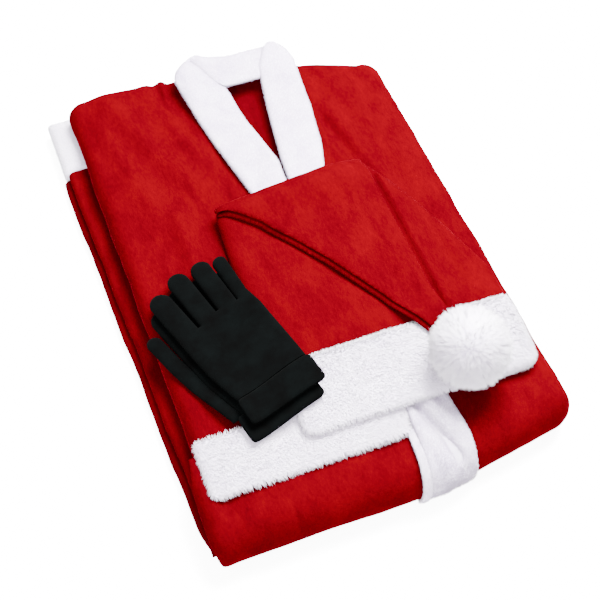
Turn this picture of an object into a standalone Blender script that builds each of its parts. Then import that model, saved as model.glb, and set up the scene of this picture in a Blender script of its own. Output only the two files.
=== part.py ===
"""A Santa suit folded for a shelf: robe-style coat, trousers, hat and a pair of gloves.

Metres, +Z up. +Y runs from the folded hem to the collar, +X to the wearer's left side.
The bundle lies on its back: the coat's back panel is flat on the surface, one rounded
solid stands for the hidden folded layers, and each piece of cloth that shows lies over it.
"""
import math

import bmesh
import bpy
from mathutils import Vector

# ---------------------------------------------------------------- driving sizes
CLOTH = 0.0025              # velvet wall
PLUSH = 0.0090              # plush trim, pile and backing
SEAM_GAP = 0.0003           # between pieces that touch
CORE_GAP = 0.0009           # between the hidden layers and the cloth over them

DEEP_FOLD = 0.0271          # radius of the core at the right side and the bottom fold
FLAT_FOLD = 0.0129          # radius of the core at the left side and the shoulders
MID_HEIGHT = DEEP_FOLD + CORE_GAP + CLOTH
CORE_TOP = MID_HEIGHT + DEEP_FOLD
FLAT_CENTRE = CORE_TOP - FLAT_FOLD

LEFT_TURN, RIGHT_TURN = -0.174, 0.192       # where the flat top starts to turn down
BOTTOM_TURN, TOP_TURN = -0.271, 0.341
CUFF_LINE = 0.270                           # trouser legs end here and their cuffs begin
CENTRE_SEAM = 0.050
HEM_LINE = -0.190

RIGHT_REACH = BOTTOM_REACH = math.radians(157.5)
LEFT_REACH = math.radians(150.0)
TOP_REACH = math.radians(90.0)

ON_CORE = CORE_GAP
ON_COAT = CORE_GAP + CLOTH + SEAM_GAP
BAND_LIFT = ON_COAT + 0.0006                # bands that run over a fold
ON_TRIM = BAND_LIFT + PLUSH + 0.0006

# the bundle's ends are not square: knots of the slant along x, and the shift there
SHOULDER_SLANT = ((-0.260, 0.0), (-0.030, 0.0), (0.086, -0.0205), (0.260, -0.0826))
HEM_SLANT = ((-0.260, 0.0), (0.050, 0.0), (0.260, 0.0350))

NECK_FLOOR = CORE_TOP - 0.009               # the neck opening sinks by 9 mm
COLLAR_RISE = 0.014                         # the collar stands away from the back neck

LEG_TAPER = 0.0115          # the trouser edge runs in towards the hem
LEG_WAVE = 0.0007           # and waves by this much either way
LEG_BEND = -0.235           # below this line its lower end rounds off
LEG_ROUND, LEG_ROUND_RUN = 0.012, 0.050     # by this much, over this length
TONGUE_END = 0.030          # the hidden trouser layers stop this far before the bottom fold
CUFF_HALF = 0.0136          # half the thickness of a trouser cuff
CUFF_EDGE = 0.013           # width of its rounded edge

# centre of the finished bundle's box, which becomes the origin
ORIGIN = Vector((0.0006, 0.0367, 0.0))

# soft folds of the top: from, to, half-width, height (a trough is negative)
FOLDS = (
    ((-0.130, 0.330), (-0.060, 0.180), 0.020, 0.0022),
    ((-0.150, 0.180), (-0.100, 0.090), 0.024, 0.0018),
    ((0.120, 0.270), (0.175, 0.120), 0.022, 0.0020),
)
CROWN = 0.0032              # how much the top swells in the middle

HAT_OUTLINE = ((-0.076, -0.125), (0.207, -0.130), (0.204, -0.070), (0.186, -0.010),
               (0.163, 0.045), (0.150, 0.080), (0.122, 0.116), (-0.068, 0.096), (-0.074, 0.020))
HAT_RISE = 0.0075           # the crown's swell over its edge
HAT_EDGE = 0.024            # width of that rounded edge
FOLD_EDGE = 7               # the outline's edge along which the cone's tail is turned over
BRIM_THICK = 0.0205
TAIL_GAP = 0.0019           # the turned-over tail lies loosely on the crown
TAIL_UNDER = 0.0055         # its lower layer
TAIL_SEAM = 0.0009          # between its two layers
TAIL_OUTLINE = ((0.098, -0.171), (0.114, -0.167), (0.121, -0.060), (0.119, 0.108),
                (-0.057, 0.088))
TAIL_UPPER = 0.94           # the tail's upper layer is this much smaller
POMPOM_CENTRE = (0.117, -0.199)
POMPOM_BALL = 0.0358        # its backing, which rests on the brim
POMPOM_REACH = 0.0495       # to the tips of its pile
POMPOM_LIFT = 0.1190

# fingers of one glove: root centre, tip centre, width, tip, cleft on its index side
FINGERS = (
    (0.0335, 0.0365, 0.0160, 0.209, 0.145),
    (0.0140, 0.0150, 0.0235, 0.219, 0.149),
    (-0.0125, -0.0145, 0.0255, 0.220, 0.142),
    (-0.0405, -0.0455, 0.0265, 0.206, 0.110),
)
GLOVE_PLACES = {            # wrist's middle, turn of the hand, fingers' shift from the thumb
    "upper": ((-0.0800, -0.1800), math.radians(13.0), 0.0),
    "lower": ((-0.0850, -0.1930), math.radians(14.5), 0.006),
}
# corners of a turned cuff, in the hand's own axes
GLOVE_CUFF = ((0.0465, 0.0000), (0.0475, 0.0345), (-0.0445, 0.0345), (-0.0455, 0.0000))
GLOVE_LAYER = 0.0038        # one side of the hand, with its pile
GLOVE_GAP = 0.0009          # between the two sides of a hand
GLOVE_REST = 0.0032         # the upper glove rests on the lower one's cuff

COLOURS = {
    "red_velvet": (0.58, 0.004, 0.008, 1.0),
    "inner_red": (0.30, 0.004, 0.008, 1.0),
    "white_plush": (0.85, 0.83, 0.87, 1.0),
    "black_fleece": (0.010, 0.011, 0.012, 1.0),
}


# ---------------------------------------------------------------- small helpers
def clamp(value, low=0.0, high=1.0):
    return max(low, min(high, value))


def smooth(value):
    value = clamp(value)
    return value * value * (3.0 - 2.0 * value)


def mix(a, b, t):
    return a + (b - a) * t


def along(table, x):
    """Read a table of (x, value) rows, straight between the rows."""
    for (x0, v0), (x1, v1) in zip(table, table[1:]):
        if x <= x1:
            return mix(v0, v1, clamp((x - x0) / (x1 - x0)))
    return table[-1][1]


def spread(count, start=0.0, end=1.0):
    return [mix(start, end, i / count) for i in range(count + 1)]


def edged(count, length, edge):
    """Stations 0..1 along a pad: close together over its rounded edges."""
    near = (0.0, 0.25 * edge / length, edge / length)
    middle = spread(count, near[2], 1.0 - near[2])
    return list(near[:2]) + middle + [1.0 - near[1], 1.0]


def quarter(distance, edge):
    """Height 0..1 of a rounded edge at a distance inside it."""
    return math.sqrt(1.0 - (1.0 - clamp(distance / edge)) ** 2)


def segment_distance(x, y, start, end):
    ax, ay, bx, by = x - start[0], y - start[1], end[0] - start[0], end[1] - start[1]
    t = clamp((ax * bx + ay * by) / (bx * bx + by * by))
    return math.hypot(ax - t * bx, ay - t * by)


def inside(x, y, outline, skip=None):
    """Signed distance to a convex outline, positive inside; one edge may be left out."""
    result = 1.0
    for k, ((x0, y0), (x1, y1)) in enumerate(zip(outline, outline[1:] + outline[:1])):
        if k == skip:
            continue
        length = math.hypot(x1 - x0, y1 - y0)
        result = min(result, ((x1 - x0) * (y - y0) - (y1 - y0) * (x - x0)) / length)
    return result


# ---------------------------------------------------------------- the bundle's skin
def lean(x, y):
    """Slant of the shoulder line and of the bottom fold towards the right side."""
    up = smooth((y - 0.050) / (TOP_TURN - 0.050))
    down = smooth((-0.020 - y) / (-0.020 - BOTTOM_TURN))
    return y + along(SHOULDER_SLANT, x) * up + along(HEM_SLANT, x) * down


def unlean(x, y):
    """The place on the square bundle that lean() brings to y."""
    place = y
    for _ in range(8):
        place += y - lean(x, place)
    return place


def swell(x, y):
    """Height of the top's soft fullness and folds over the flat core."""
    width = 1.0 - ((x - 0.009) / 0.200) ** 2
    length = 1.0 - ((y - 0.029) / 0.320) ** 2
    height = CROWN * clamp(width) * clamp(length)
    for start, end, half_width, rise in FOLDS:
        away = segment_distance(x, y, start, end) / half_width
        height += rise * math.exp(-away * away)
    return max(0.0, height)


def chord(radius, drop):
    drop = clamp(drop, 0.0, 2.0 * radius)
    return math.sqrt(radius * radius - (radius - drop) ** 2)


def bare_skin(u, v, wrap_left):
    """The core's surface at cloth place (u, v): flat on top, turned down past the folds."""
    over_x, over_y = 0.0, 0.0
    side_x, side_y = 1.0, 1.0
    radius_x, reach_x, radius_y, reach_y = DEEP_FOLD, RIGHT_REACH, FLAT_FOLD, TOP_REACH
    if u > RIGHT_TURN:
        over_x = (u - RIGHT_TURN) / DEEP_FOLD
    elif u < LEFT_TURN and wrap_left:
        over_x, side_x = (LEFT_TURN - u) / FLAT_FOLD, -1.0
        radius_x, reach_x = FLAT_FOLD, LEFT_REACH
    if v > TOP_TURN:
        over_y = (v - TOP_TURN) / FLAT_FOLD
    elif v < BOTTOM_TURN:
        over_y, side_y = (BOTTOM_TURN - v) / DEEP_FOLD, -1.0
        radius_y, reach_y = DEEP_FOLD, BOTTOM_REACH
    if over_x == 0.0 and over_y == 0.0:
        return Vector((u, lean(u, v), CORE_TOP))
    part_x, part_y = over_x / reach_x, over_y / reach_y
    if part_x >= part_y:
        turn = math.radians(45.0) * part_y / part_x
    else:
        turn = math.radians(90.0) - math.radians(45.0) * part_x / part_y
    across, onward = math.cos(turn), math.sin(turn)
    angle = max(part_x, part_y) * (reach_x * across ** 2 + reach_y * onward ** 2)
    drop = (radius_x * across ** 2 + radius_y * onward ** 2) * (1.0 - math.cos(angle))
    out_x, out_y = chord(radius_x, drop), chord(radius_y, drop)
    if side_y > 0.0 and drop > radius_y:
        out_y = radius_y
    edge_x = clamp(u, LEFT_TURN, RIGHT_TURN) if over_x else u
    edge_y = clamp(v, BOTTOM_TURN, TOP_TURN) if over_y else v
    x = edge_x + side_x * out_x * across
    y = edge_y + side_y * out_y * onward
    return Vector((x, lean(edge_x, edge_y) + y - edge_y, CORE_TOP - drop))


def skin(u, v, lift, wrap_left=True):
    """A point over the core: lift along its normal, plus the swell where it is flat."""
    step = 0.0004
    here = bare_skin(u, v, wrap_left)
    along_u = bare_skin(u + step, v, wrap_left) - bare_skin(u - step, v, wrap_left)
    along_v = bare_skin(u, v + step, wrap_left) - bare_skin(u, v - step, wrap_left)
    normal = along_u.cross(along_v)
    normal = normal.normalized() if normal.length > 1e-9 else Vector((0.0, 0.0, 1.0))
    flat = clamp(normal.z) ** 2
    return here + normal * lift + Vector((0.0, 0.0, swell(here.x, here.y) * flat))


def top_height(x, y):
    """Height of the core's top with its swell."""
    return CORE_TOP + swell(x, y)


# ---------------------------------------------------------------- building solids
def finish(name, mesh_data, material):
    bmesh.ops.recalc_face_normals(mesh_data, faces=mesh_data.faces)
    if mesh_data.calc_volume(signed=True) < 0.0:
        bmesh.ops.reverse_faces(mesh_data, faces=mesh_data.faces)
    for face in mesh_data.faces:
        face.smooth = True
    mesh = bpy.data.meshes.new(name)
    mesh_data.to_mesh(mesh)
    mesh_data.free()
    mesh.set_sharp_from_angle(angle=math.radians(40.0))
    item = bpy.data.objects.new(name, mesh)
    item.location = -ORIGIN
    item.data.materials.append(MATERIALS[material])
    SUIT.objects.link(item)
    return item


def layer(name, columns, rows, low, high, material):
    """A closed solid over a grid: low and high give its two sides at (column, row)."""
    across, onward = len(columns) - 1, len(rows) - 1
    grid = bmesh.new()
    bmesh.ops.create_grid(grid, x_segments=across, y_segments=onward, size=1.0)
    lower = grid.verts[:]
    made = bmesh.ops.extrude_face_region(grid, geom=grid.faces[:], use_keep_orig=True)
    upper = [item for item in made["geom"] if isinstance(item, bmesh.types.BMVert)]
    for side, verts in ((low, lower), (high, upper)):
        for vert in verts:
            i = round((vert.co.x + 1.0) / 2.0 * across)
            j = round((vert.co.y + 1.0) / 2.0 * onward)
            vert.co = side(columns[i], rows[j])
    return finish(name, grid, material)


def wrap_stations(turn, radius, reach, steps, outward):
    """Cloth places round a fold, evenly by angle."""
    return [turn + outward * radius * reach * i / steps for i in range(steps + 1)]


def wall(name, columns, rows, lift, material="red_velvet", edge=None, wrap_left=True):
    """A cloth wall over the skin; edge(u, v) moves a place, to slant a cut edge."""
    def place(u, v, height):
        if edge is not None:
            u, v = edge(u, v)
        return skin(u, v, height, wrap_left)
    return layer(name, columns, rows, lambda u, v: place(u, v, lift),
                 lambda u, v: place(u, v, lift + CLOTH), material)


def pad(name, left, right, start, end, floor, thick, across=4, onward=8, edge=0.007,
        corner=None, width=0.06, bend=None):
    """A plush band between two side tables of (y, x), with rounded edges and corners.

    bend lists the cloth places round a fold that the band runs over, as the wall under it
    has them; a band without it lies flat on the top.
    """
    length = abs(end - start)
    corner = edge if corner is None else corner
    columns = edged(across, width, edge)
    rows = edged(onward, length, edge)
    if bend:
        turns = [(v - start) / (end - start) for v in bend]
        rows = [t for t in rows if min(abs(t - turn) for turn in turns) > 0.012] + turns
        rows = sorted(set([0.0, 1.0] + [t for t in rows if 0.006 < t < 0.994]))
        left = [(unlean(x, y), x) for y, x in left]
        right = [(unlean(x, y), x) for y, x in right]

    def place(s, t):
        a, b = (0.5 - abs(s - 0.5)) * width, (0.5 - abs(t - 0.5)) * length
        if a < corner and b < corner:
            x, y = 1.0 - a / corner, 1.0 - b / corner
            a = corner * (1.0 - x * math.sqrt(1.0 - y * y / 2.0))
            b = corner * (1.0 - y * math.sqrt(1.0 - x * x / 2.0))
            s = a / width if s < 0.5 else 1.0 - a / width
            t = b / length if t < 0.5 else 1.0 - b / length
        v = mix(start, end, t)
        return mix(along(left, v), along(right, v), s), v

    def side(s, t, way):
        inner = min((0.5 - abs(s - 0.5)) * width, (0.5 - abs(t - 0.5)) * length)
        u, v = place(s, t)
        base = floor(u, v) if callable(floor) else floor
        depth = thick(u, v) if callable(thick) else thick
        lift = base + depth / 2.0 + way * depth / 2.0 * (0.25 + 0.75 * quarter(inner, edge))
        return skin(u, v, lift) if bend else Vector((u, v, top_height(u, v) + lift))

    return layer(name, columns, rows, lambda s, t: side(s, t, -1.0),
                 lambda s, t: side(s, t, 1.0), "white_plush")


# ---------------------------------------------------------------- hidden layers
# sections of the folded layers, top to bottom: height, reach past the left turn,
# whether the section runs on to the shoulders (1) or stops at the trouser cuffs (0)
CORE_SECTIONS = (
    (CORE_TOP, 0.0, 1),
    (FLAT_CENTRE + FLAT_FOLD * math.cos(math.radians(30)), 0.00645, 1),
    (FLAT_CENTRE + FLAT_FOLD * math.cos(math.radians(60)), 0.01117, 1),
    (FLAT_CENTRE, FLAT_FOLD, 1),
    (FLAT_CENTRE - FLAT_FOLD * math.cos(math.radians(60)), 0.01117, 1),
    (FLAT_CENTRE - FLAT_FOLD * math.cos(math.radians(30)), 0.00645, 1),
    (0.0311, 0.0040, 1),
    (0.0310, 0.0040, 0),
    (0.0264, 0.0040, 0),
    (0.0263, 0.0310, 0),
    (0.0228, 0.0350, 0),
    (0.0194, 0.0310, 0),
    (0.0193, 0.0080, 0),
    (0.0127, 0.0080, 0),
    (0.0126, 0.0390, 0),
    (0.0094, 0.0430, 0),
    (0.0060, 0.0390, 0),
    (0.0059, 0.0080, 0),
    (MID_HEIGHT - DEEP_FOLD, 0.0080, 0),
)


def core_ring(height, left_out, to_shoulder):
    """One closed section of the folded layers, as points in order."""
    drop = CORE_TOP - height
    deep = max(chord(DEEP_FOLD, drop), 0.0006)
    top_out = min(max(left_out, 0.0006), FLAT_FOLD) if to_shoulder else CUFF_LINE - TOP_TURN
    left_out = max(left_out, 0.0006)
    corner_top = max(top_out, 0.003)
    tongue = TONGUE_END if left_out > FLAT_FOLD + 0.001 else 0.0
    centres = (
        (RIGHT_TURN, TOP_TURN + top_out - corner_top, deep, corner_top, 0),
        (LEFT_TURN, TOP_TURN + top_out - corner_top, left_out, corner_top, 1),
        (LEFT_TURN, BOTTOM_TURN + tongue, left_out, deep + tongue, 2),
        (RIGHT_TURN, BOTTOM_TURN, deep, deep, 3),
    )
    knots = [x for x, _ in SHOULDER_SLANT[1:-1]] + [x for x, _ in HEM_SLANT[1:-1]]
    points = []
    for x, y, across, onward, quadrant in centres:
        for i, full in enumerate((1.0, 0.95, 1.0)):
            angle = math.radians(90.0) * (quadrant + i / 2.0)
            px = x + full * across * math.cos(angle)
            if quadrant in (1, 2) and tongue:
                px += leg_taper(y) * max(0.0, -math.cos(angle))
            points.append(Vector((px, lean(x, y) + full * onward * math.sin(angle), height)))
        if quadrant in (0, 2):
            edge = onward if quadrant == 0 else -onward
            leaning = y + edge if quadrant == 0 and not to_shoulder else y
            for knot in sorted(knots, reverse=quadrant == 0):
                points.append(Vector((knot, lean(knot, leaning) + y + edge - leaning, height)))
        else:
            far = centres[(quadrant + 1) % 4]
            sign = -1.0 if quadrant == 1 else 1.0
            for t in (0.25, 0.5, 0.75):
                place = mix(y, far[1], t)
                side = x + sign * across
                if sign < 0.0 and tongue:
                    side += leg_taper(place)
                points.append(Vector((side, lean(x, place), height)))
    return points


def build_core():
    solid = bmesh.new()
    rings = [[solid.verts.new(point) for point in core_ring(*row)] for row in CORE_SECTIONS]
    for upper, lower in zip(rings, rings[1:]):
        for i in range(len(upper)):
            j = (i + 1) % len(upper)
            solid.faces.new((upper[i], lower[i], lower[j], upper[j]))
    solid.faces.new(rings[0])
    solid.faces.new(rings[-1][::-1])
    core = finish("folded_core", solid, "inner_red")
    cut_recess(core)


def cut_recess(core):
    """The neck opening sinks between the collar bands."""
    outline = ((-0.040, 0.400), (0.010, 0.112), (0.062, 0.112), (0.096, 0.400))
    tool = bmesh.new()
    low = [tool.verts.new((x, y, NECK_FLOOR)) for x, y in outline]
    made = bmesh.ops.extrude_face_region(tool, geom=[tool.faces.new(low)], use_keep_orig=True)
    for item in made["geom"]:
        if isinstance(item, bmesh.types.BMVert):
            item.co.z = CORE_TOP + 0.02
    cutter = finish("neck_cutter", tool, "inner_red")
    SUIT.objects.unlink(cutter)
    CUTTERS.objects.link(cutter)
    cutter.hide_render = True
    cutter.display_type = "WIRE"
    cut = core.modifiers.new("neck", "BOOLEAN")
    cut.operation = "DIFFERENCE"
    cut.object = cutter


# ---------------------------------------------------------------- coat
LEFT_NECK = ((0.096, 0.0497), (0.126, 0.0140), (0.350, -0.0300))      # (v, u) of the cut edge
RIGHT_NECK = ((0.096, 0.0503), (0.126, 0.0600), (0.350, 0.0860))


def build_coat_panels():
    right = wrap_stations(RIGHT_TURN, DEEP_FOLD, RIGHT_REACH, 7, 1.0)
    left = wrap_stations(LEFT_TURN, FLAT_FOLD, LEFT_REACH, 5, -1.0)
    bottom = wrap_stations(BOTTOM_TURN, DEEP_FOLD, BOTTOM_REACH, 7, -1.0)
    top = wrap_stations(TOP_TURN, FLAT_FOLD, TOP_REACH, 3, 1.0)
    neck_rows = [0.096, 0.126] + spread(5, 0.126, TOP_TURN)[1:]
    upper_rows = spread(7, HEM_LINE + SEAM_GAP, 0.096)[:-1] + neck_rows + top[1:]

    def left_edge(u, v):
        share = clamp((u - LEFT_TURN) / (CENTRE_SEAM - SEAM_GAP - LEFT_TURN))
        return u - share * (CENTRE_SEAM - SEAM_GAP - along(LEFT_NECK, v)), v

    wall("coat_front_left", left[:0:-1] + spread(7, LEFT_TURN, CENTRE_SEAM - SEAM_GAP),
         upper_rows, ON_CORE, edge=left_edge)

    def right_edge(u, v):
        share = clamp((RIGHT_TURN - u) / (RIGHT_TURN - CENTRE_SEAM - SEAM_GAP))
        return u + share * (along(RIGHT_NECK, v) - CENTRE_SEAM - SEAM_GAP), v

    right_rows = bottom[:0:-1] + spread(8, BOTTOM_TURN, 0.096)[:-1] + neck_rows + top[1:]
    wall("coat_front_right", spread(5, CENTRE_SEAM + SEAM_GAP, RIGHT_TURN) + right[1:],
         right_rows, ON_CORE, edge=right_edge)

    skirt_columns = [-0.206] + spread(7, -0.196, CENTRE_SEAM - SEAM_GAP)
    skirt_rows = bottom[:0:-1] + spread(4, BOTTOM_TURN, HEM_LINE)

    def skirt_edge(u, v):
        return (u + 0.012 * smooth((BOTTOM_TURN - v) / 0.060) if u < -0.19 else u), v

    wall("coat_skirt_left", skirt_columns, skirt_rows, ON_CORE, edge=skirt_edge, wrap_left=False)

    back_columns = spread(8, -0.203, RIGHT_TURN + 0.008)
    back_rows = spread(10, BOTTOM_TURN - 0.006, TOP_TURN - 0.006)
    layer("coat_back", back_columns, back_rows, lambda x, y: Vector((x, lean(x, y), 0.0)),
          lambda x, y: Vector((x, lean(x, y), CLOTH)), "red_velvet")

    def neck_place(s, y, z):
        low, high = along(LEFT_NECK, y) + 0.0030, along(RIGHT_NECK, y) - 0.0030
        return Vector((mix(low, high, s), y, z))

    floor = NECK_FLOOR + CORE_GAP
    layer("coat_back_neck", spread(4), spread(8, 0.130, 0.318), lambda s, y: neck_place(s, y, floor),
          lambda s, y: neck_place(s, y, floor + CLOTH), "inner_red")


def collar_floor(x, y):
    return BAND_LIFT + COLLAR_RISE * smooth((y - 0.250) / 0.105)


def build_collar():
    pad("collar_left", ((0.104, -0.0140), (0.210, -0.0330), (0.275, -0.0420), (0.367, -0.0490)),
        ((0.104, 0.0290), (0.163, 0.0335), (0.237, 0.0190), (0.301, 0.0120), (0.367, -0.0080)),
        0.104, 0.365, collar_floor, PLUSH, across=3, onward=10, width=0.043)
    pad("collar_right", ((0.104, 0.0310), (0.163, 0.0360), (0.241, 0.0480), (0.316, 0.0610),
                         (0.360, 0.0680)),
        ((0.104, 0.0745), (0.171, 0.0940), (0.237, 0.1050), (0.314, 0.1110), (0.360, 0.0960)),
        0.104, 0.358, collar_floor, PLUSH, across=3, onward=10, width=0.047)
    pad("collar_back", ((0.300, 0.0129), (0.365, -0.0071)), ((0.296, 0.0566), (0.360, 0.0671)),
        0.306, 0.363, collar_floor, PLUSH + 0.0040, across=4, onward=4, width=0.060)


def build_trims():
    pad("hem_band_left", ((-0.260, -0.1910), (-0.180, -0.1905)),
        ((-0.260, 0.0235), (-0.220, 0.0355), (-0.180, 0.0355)),
        -0.252, -0.180, ON_COAT, PLUSH, across=9, onward=3, width=0.220, corner=0.010)
    bend = wrap_stations(BOTTOM_TURN, DEEP_FOLD, math.radians(112.5), 5, -1.0)
    round_end = BOTTOM_TURN - DEEP_FOLD * math.radians(128.0)
    pad("front_band", ((-0.335, 0.0220), (-0.271, 0.0290), (-0.216, 0.0400), (-0.190, 0.0410)),
        ((-0.335, 0.0860), (-0.265, 0.0930), (-0.216, 0.0890), (-0.190, 0.0880)),
        round_end, -0.194, BAND_LIFT, PLUSH - 0.0010, across=4, onward=8, width=0.058, bend=bend)
    pad("front_band_under", ((-0.335, 0.0090), (-0.271, 0.0160), (-0.250, 0.0180)),
        ((-0.335, 0.0190), (-0.271, 0.0260), (-0.250, 0.0270)),
        round_end, -0.2565, BAND_LIFT, 0.0055, across=1, onward=5, width=0.010, edge=0.0035,
        bend=bend)


# ---------------------------------------------------------------- trousers
# the left leg lies folded on itself: underside, top, reach past the left turn, lower end
LEG_LAYERS = {
    "trouser_leg_upper": (0.0162, 0.0298, 0.0385, -0.284),
    "trouser_leg_lower": (0.0028, 0.0159, 0.0465, -0.277),
}
# cuffs at the shoulder end: left and right side, start past the cuff line, end
CUFFS = {
    "trouser_cuff_left": (-0.2185, -0.012, 0.0010, 0.366),
    "trouser_cuff_right": (-0.006, 0.187, 0.0040, 0.388),
}


def leg_taper(y):
    return LEG_TAPER * clamp((0.240 - y) / 0.480)


def leg_point(step, y, depth, low, high, out):
    """Section of one folded layer: flat, round the edge at x = left turn - out, flat."""
    inner = LEFT_TURN - 0.0105
    radius = (high - low) / 2.0
    size = radius - depth
    out += LEG_WAVE * (1.0 + math.sin(37.0 * y)) - leg_taper(y)
    out -= LEG_ROUND * clamp((LEG_BEND - y) / LEG_ROUND_RUN) ** 2
    angle = math.radians(90.0 - 30.0 * clamp(step - 1, 0, 6))
    x = inner if step in (0, 8) else LEFT_TURN - (out - radius) - size * math.cos(angle)
    return Vector((x, y, low + radius + size * math.sin(angle)))


def cuff_point(s, t, way, left, right, start, end):
    length = end - CUFF_LINE - start
    inner = min((0.5 - abs(s - 0.5)) * (right - left), (0.5 - abs(t - 0.5)) * length)
    x, v = mix(left, right, s), CUFF_LINE + start + t * length
    y = lean(x, min(v, TOP_TURN)) + max(0.0, v - TOP_TURN)
    half = CUFF_HALF * (0.35 + 0.65 * quarter(inner, CUFF_EDGE))
    return Vector((x, y, CUFF_HALF + 0.0028 + way * half))


def build_trousers():
    for name, (low, high, out, end) in LEG_LAYERS.items():
        rows = spread(5, end, LEG_BEND)[:-1] + spread(9, LEG_BEND, CUFF_LINE - SEAM_GAP)
        layer(name, list(range(9)), rows,
              lambda step, y, a=(low, high, out): leg_point(step, y, CLOTH, *a),
              lambda step, y, a=(low, high, out): leg_point(step, y, 0.0, *a), "red_velvet")
    for name, row in CUFFS.items():
        layer(name, edged(6, row[1] - row[0], CUFF_EDGE), edged(3, row[3] - CUFF_LINE, CUFF_EDGE),
              lambda s, t, a=row: cuff_point(s, t, -1.0, *a),
              lambda s, t, a=row: cuff_point(s, t, 1.0, *a), "white_plush")


# ---------------------------------------------------------------- hat
def prop(x, y):
    """How much the trims under the hat raise it: 0 on the coat, 1 on a band."""
    collar = smooth((y - 0.045) / 0.055) * smooth((x + 0.075) / 0.055) * smooth((0.130 - x) / 0.050)
    bands = smooth((-0.148 - y) / 0.024) * smooth((0.118 - x) / 0.020)
    return max(collar, bands)


def hat_floor(x, y):
    return mix(ON_COAT, ON_TRIM, prop(x, y))


def crown_under(x, y):
    """Lift of the top of the crown's lower layer."""
    edge = inside(x, y, HAT_OUTLINE, FOLD_EDGE)
    return hat_floor(x, y) + 0.0035 + HAT_RISE * quarter(edge, HAT_EDGE)


def crown_top(x, y):
    return crown_under(x, y) + SEAM_GAP + CLOTH


def hat_surface(x, y):
    """Lift of the hat's top, crown and brim together, never below either."""
    brim = smooth((-0.090 - y) / 0.038)
    return mix(crown_top(x, y), ON_COAT + BRIM_THICK + 0.0006, brim)


def polygon_layer(name, outline, low, high, cell=0.029, edge=0.004, reach=1.0):
    """A solid over a convex outline, in rings from its middle to its edge."""
    count = len(outline)
    points = []
    for k in range(count):
        x0, y0 = outline[k]
        x1, y1 = outline[(k + 1) % count]
        pieces = max(1, round(math.hypot(x1 - x0, y1 - y0) / cell))
        points += [(mix(x0, x1, i / pieces), mix(y0, y1, i / pieces)) for i in range(pieces)]
    centre = (sum(p[0] for p in points) / len(points), sum(p[1] for p in points) / len(points))
    size = max(math.hypot(p[0] - centre[0], p[1] - centre[1]) for p in points)
    scales = (0.16, 0.34, 0.52, 0.68, 0.83, reach - 1.3 * edge / size, reach)
    solid = bmesh.new()
    sides = []
    for height in (low, high):
        rings = []
        for scale in scales:
            ring = [(mix(centre[0], x, scale), mix(centre[1], y, scale)) for x, y in points]
            rings.append([solid.verts.new((x, y, top_height(x, y) + height(x, y, scale)))
                          for x, y in ring])
        for inner, outer in zip(rings, rings[1:]):
            for i in range(len(inner)):
                j = (i + 1) % len(inner)
                solid.faces.new((inner[i], inner[j], outer[j], outer[i]))
        solid.faces.new(rings[0])
        sides.append(rings[-1])
    for i in range(len(points)):
        j = (i + 1) % len(points)
        solid.faces.new((sides[0][i], sides[0][j], sides[1][j], sides[1][i]))
    return finish(name, solid, "red_velvet")


def build_hat():
    polygon_layer("hat_crown_under", HAT_OUTLINE, lambda x, y, s: hat_floor(x, y),
                  lambda x, y, s: crown_under(x, y))
    polygon_layer("hat_crown", HAT_OUTLINE, lambda x, y, s: crown_under(x, y) + SEAM_GAP,
                  lambda x, y, s: crown_top(x, y))

    def tail_low(x, y, s):
        return hat_surface(x, y) + TAIL_GAP

    def tail_under(x, y, s):
        return hat_surface(x, y) + TAIL_GAP + TAIL_UNDER - (0.0012 if s > 0.999 else 0.0)

    def tail_upper(x, y, s):
        return hat_surface(x, y) + TAIL_GAP + TAIL_UNDER + TAIL_SEAM

    polygon_layer("hat_tail_under", TAIL_OUTLINE, tail_low, tail_under, cell=0.026)
    polygon_layer("hat_tail", TAIL_OUTLINE, tail_upper, lambda x, y, s: tail_upper(x, y, s) + CLOTH,
                  cell=0.026, reach=TAIL_UPPER)
    pad("hat_brim", ((-0.225, -0.0760), (-0.130, -0.0770)),
        ((-0.225, 0.1960), (-0.205, 0.2010), (-0.144, 0.2075), (-0.130, 0.2060)),
        -0.221, -0.1325, hat_floor, lambda x, y: ON_COAT + BRIM_THICK - hat_floor(x, y),
        across=10, onward=5, width=0.280, edge=0.011, corner=0.012)
    build_pompom()


def build_pompom():
    """A ball of backing whose faces each carry one three-sided lock of pile."""
    x, y = POMPOM_CENTRE
    ball = bmesh.new()
    bmesh.ops.create_icosphere(ball, subdivisions=3, radius=POMPOM_BALL)
    faces = sorted(ball.faces, key=lambda face: face.calc_center_median().z)
    locks = faces[len(faces) - 250:]
    poked = bmesh.ops.poke(ball, faces=locks)
    for i, tip in enumerate(poked["verts"]):
        out = tip.co.normalized()
        uneven = 0.0016 * math.sin(2.3 * i) + 0.0010 * math.sin(5.1 * i + 1.0)
        tip.co = out * (POMPOM_REACH - 0.0026 + uneven)
        floor = BRIM_THICK + ON_COAT + top_height(x, y) + 0.0012 - POMPOM_LIFT
        if tip.co.z < floor:
            tip.co *= max(POMPOM_BALL + 0.001, abs(floor / out.z) - 0.0008) / tip.co.length
    bmesh.ops.translate(ball, verts=ball.verts, vec=(x, y, POMPOM_LIFT))
    finish("hat_pompom", ball, "white_plush")


# ---------------------------------------------------------------- gloves
def glove_place(which, u, v):
    (x, y), turn, _ = GLOVE_PLACES[which]
    return (x + u * math.cos(turn) - v * math.sin(turn),
            y + u * math.sin(turn) + v * math.cos(turn))


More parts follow.
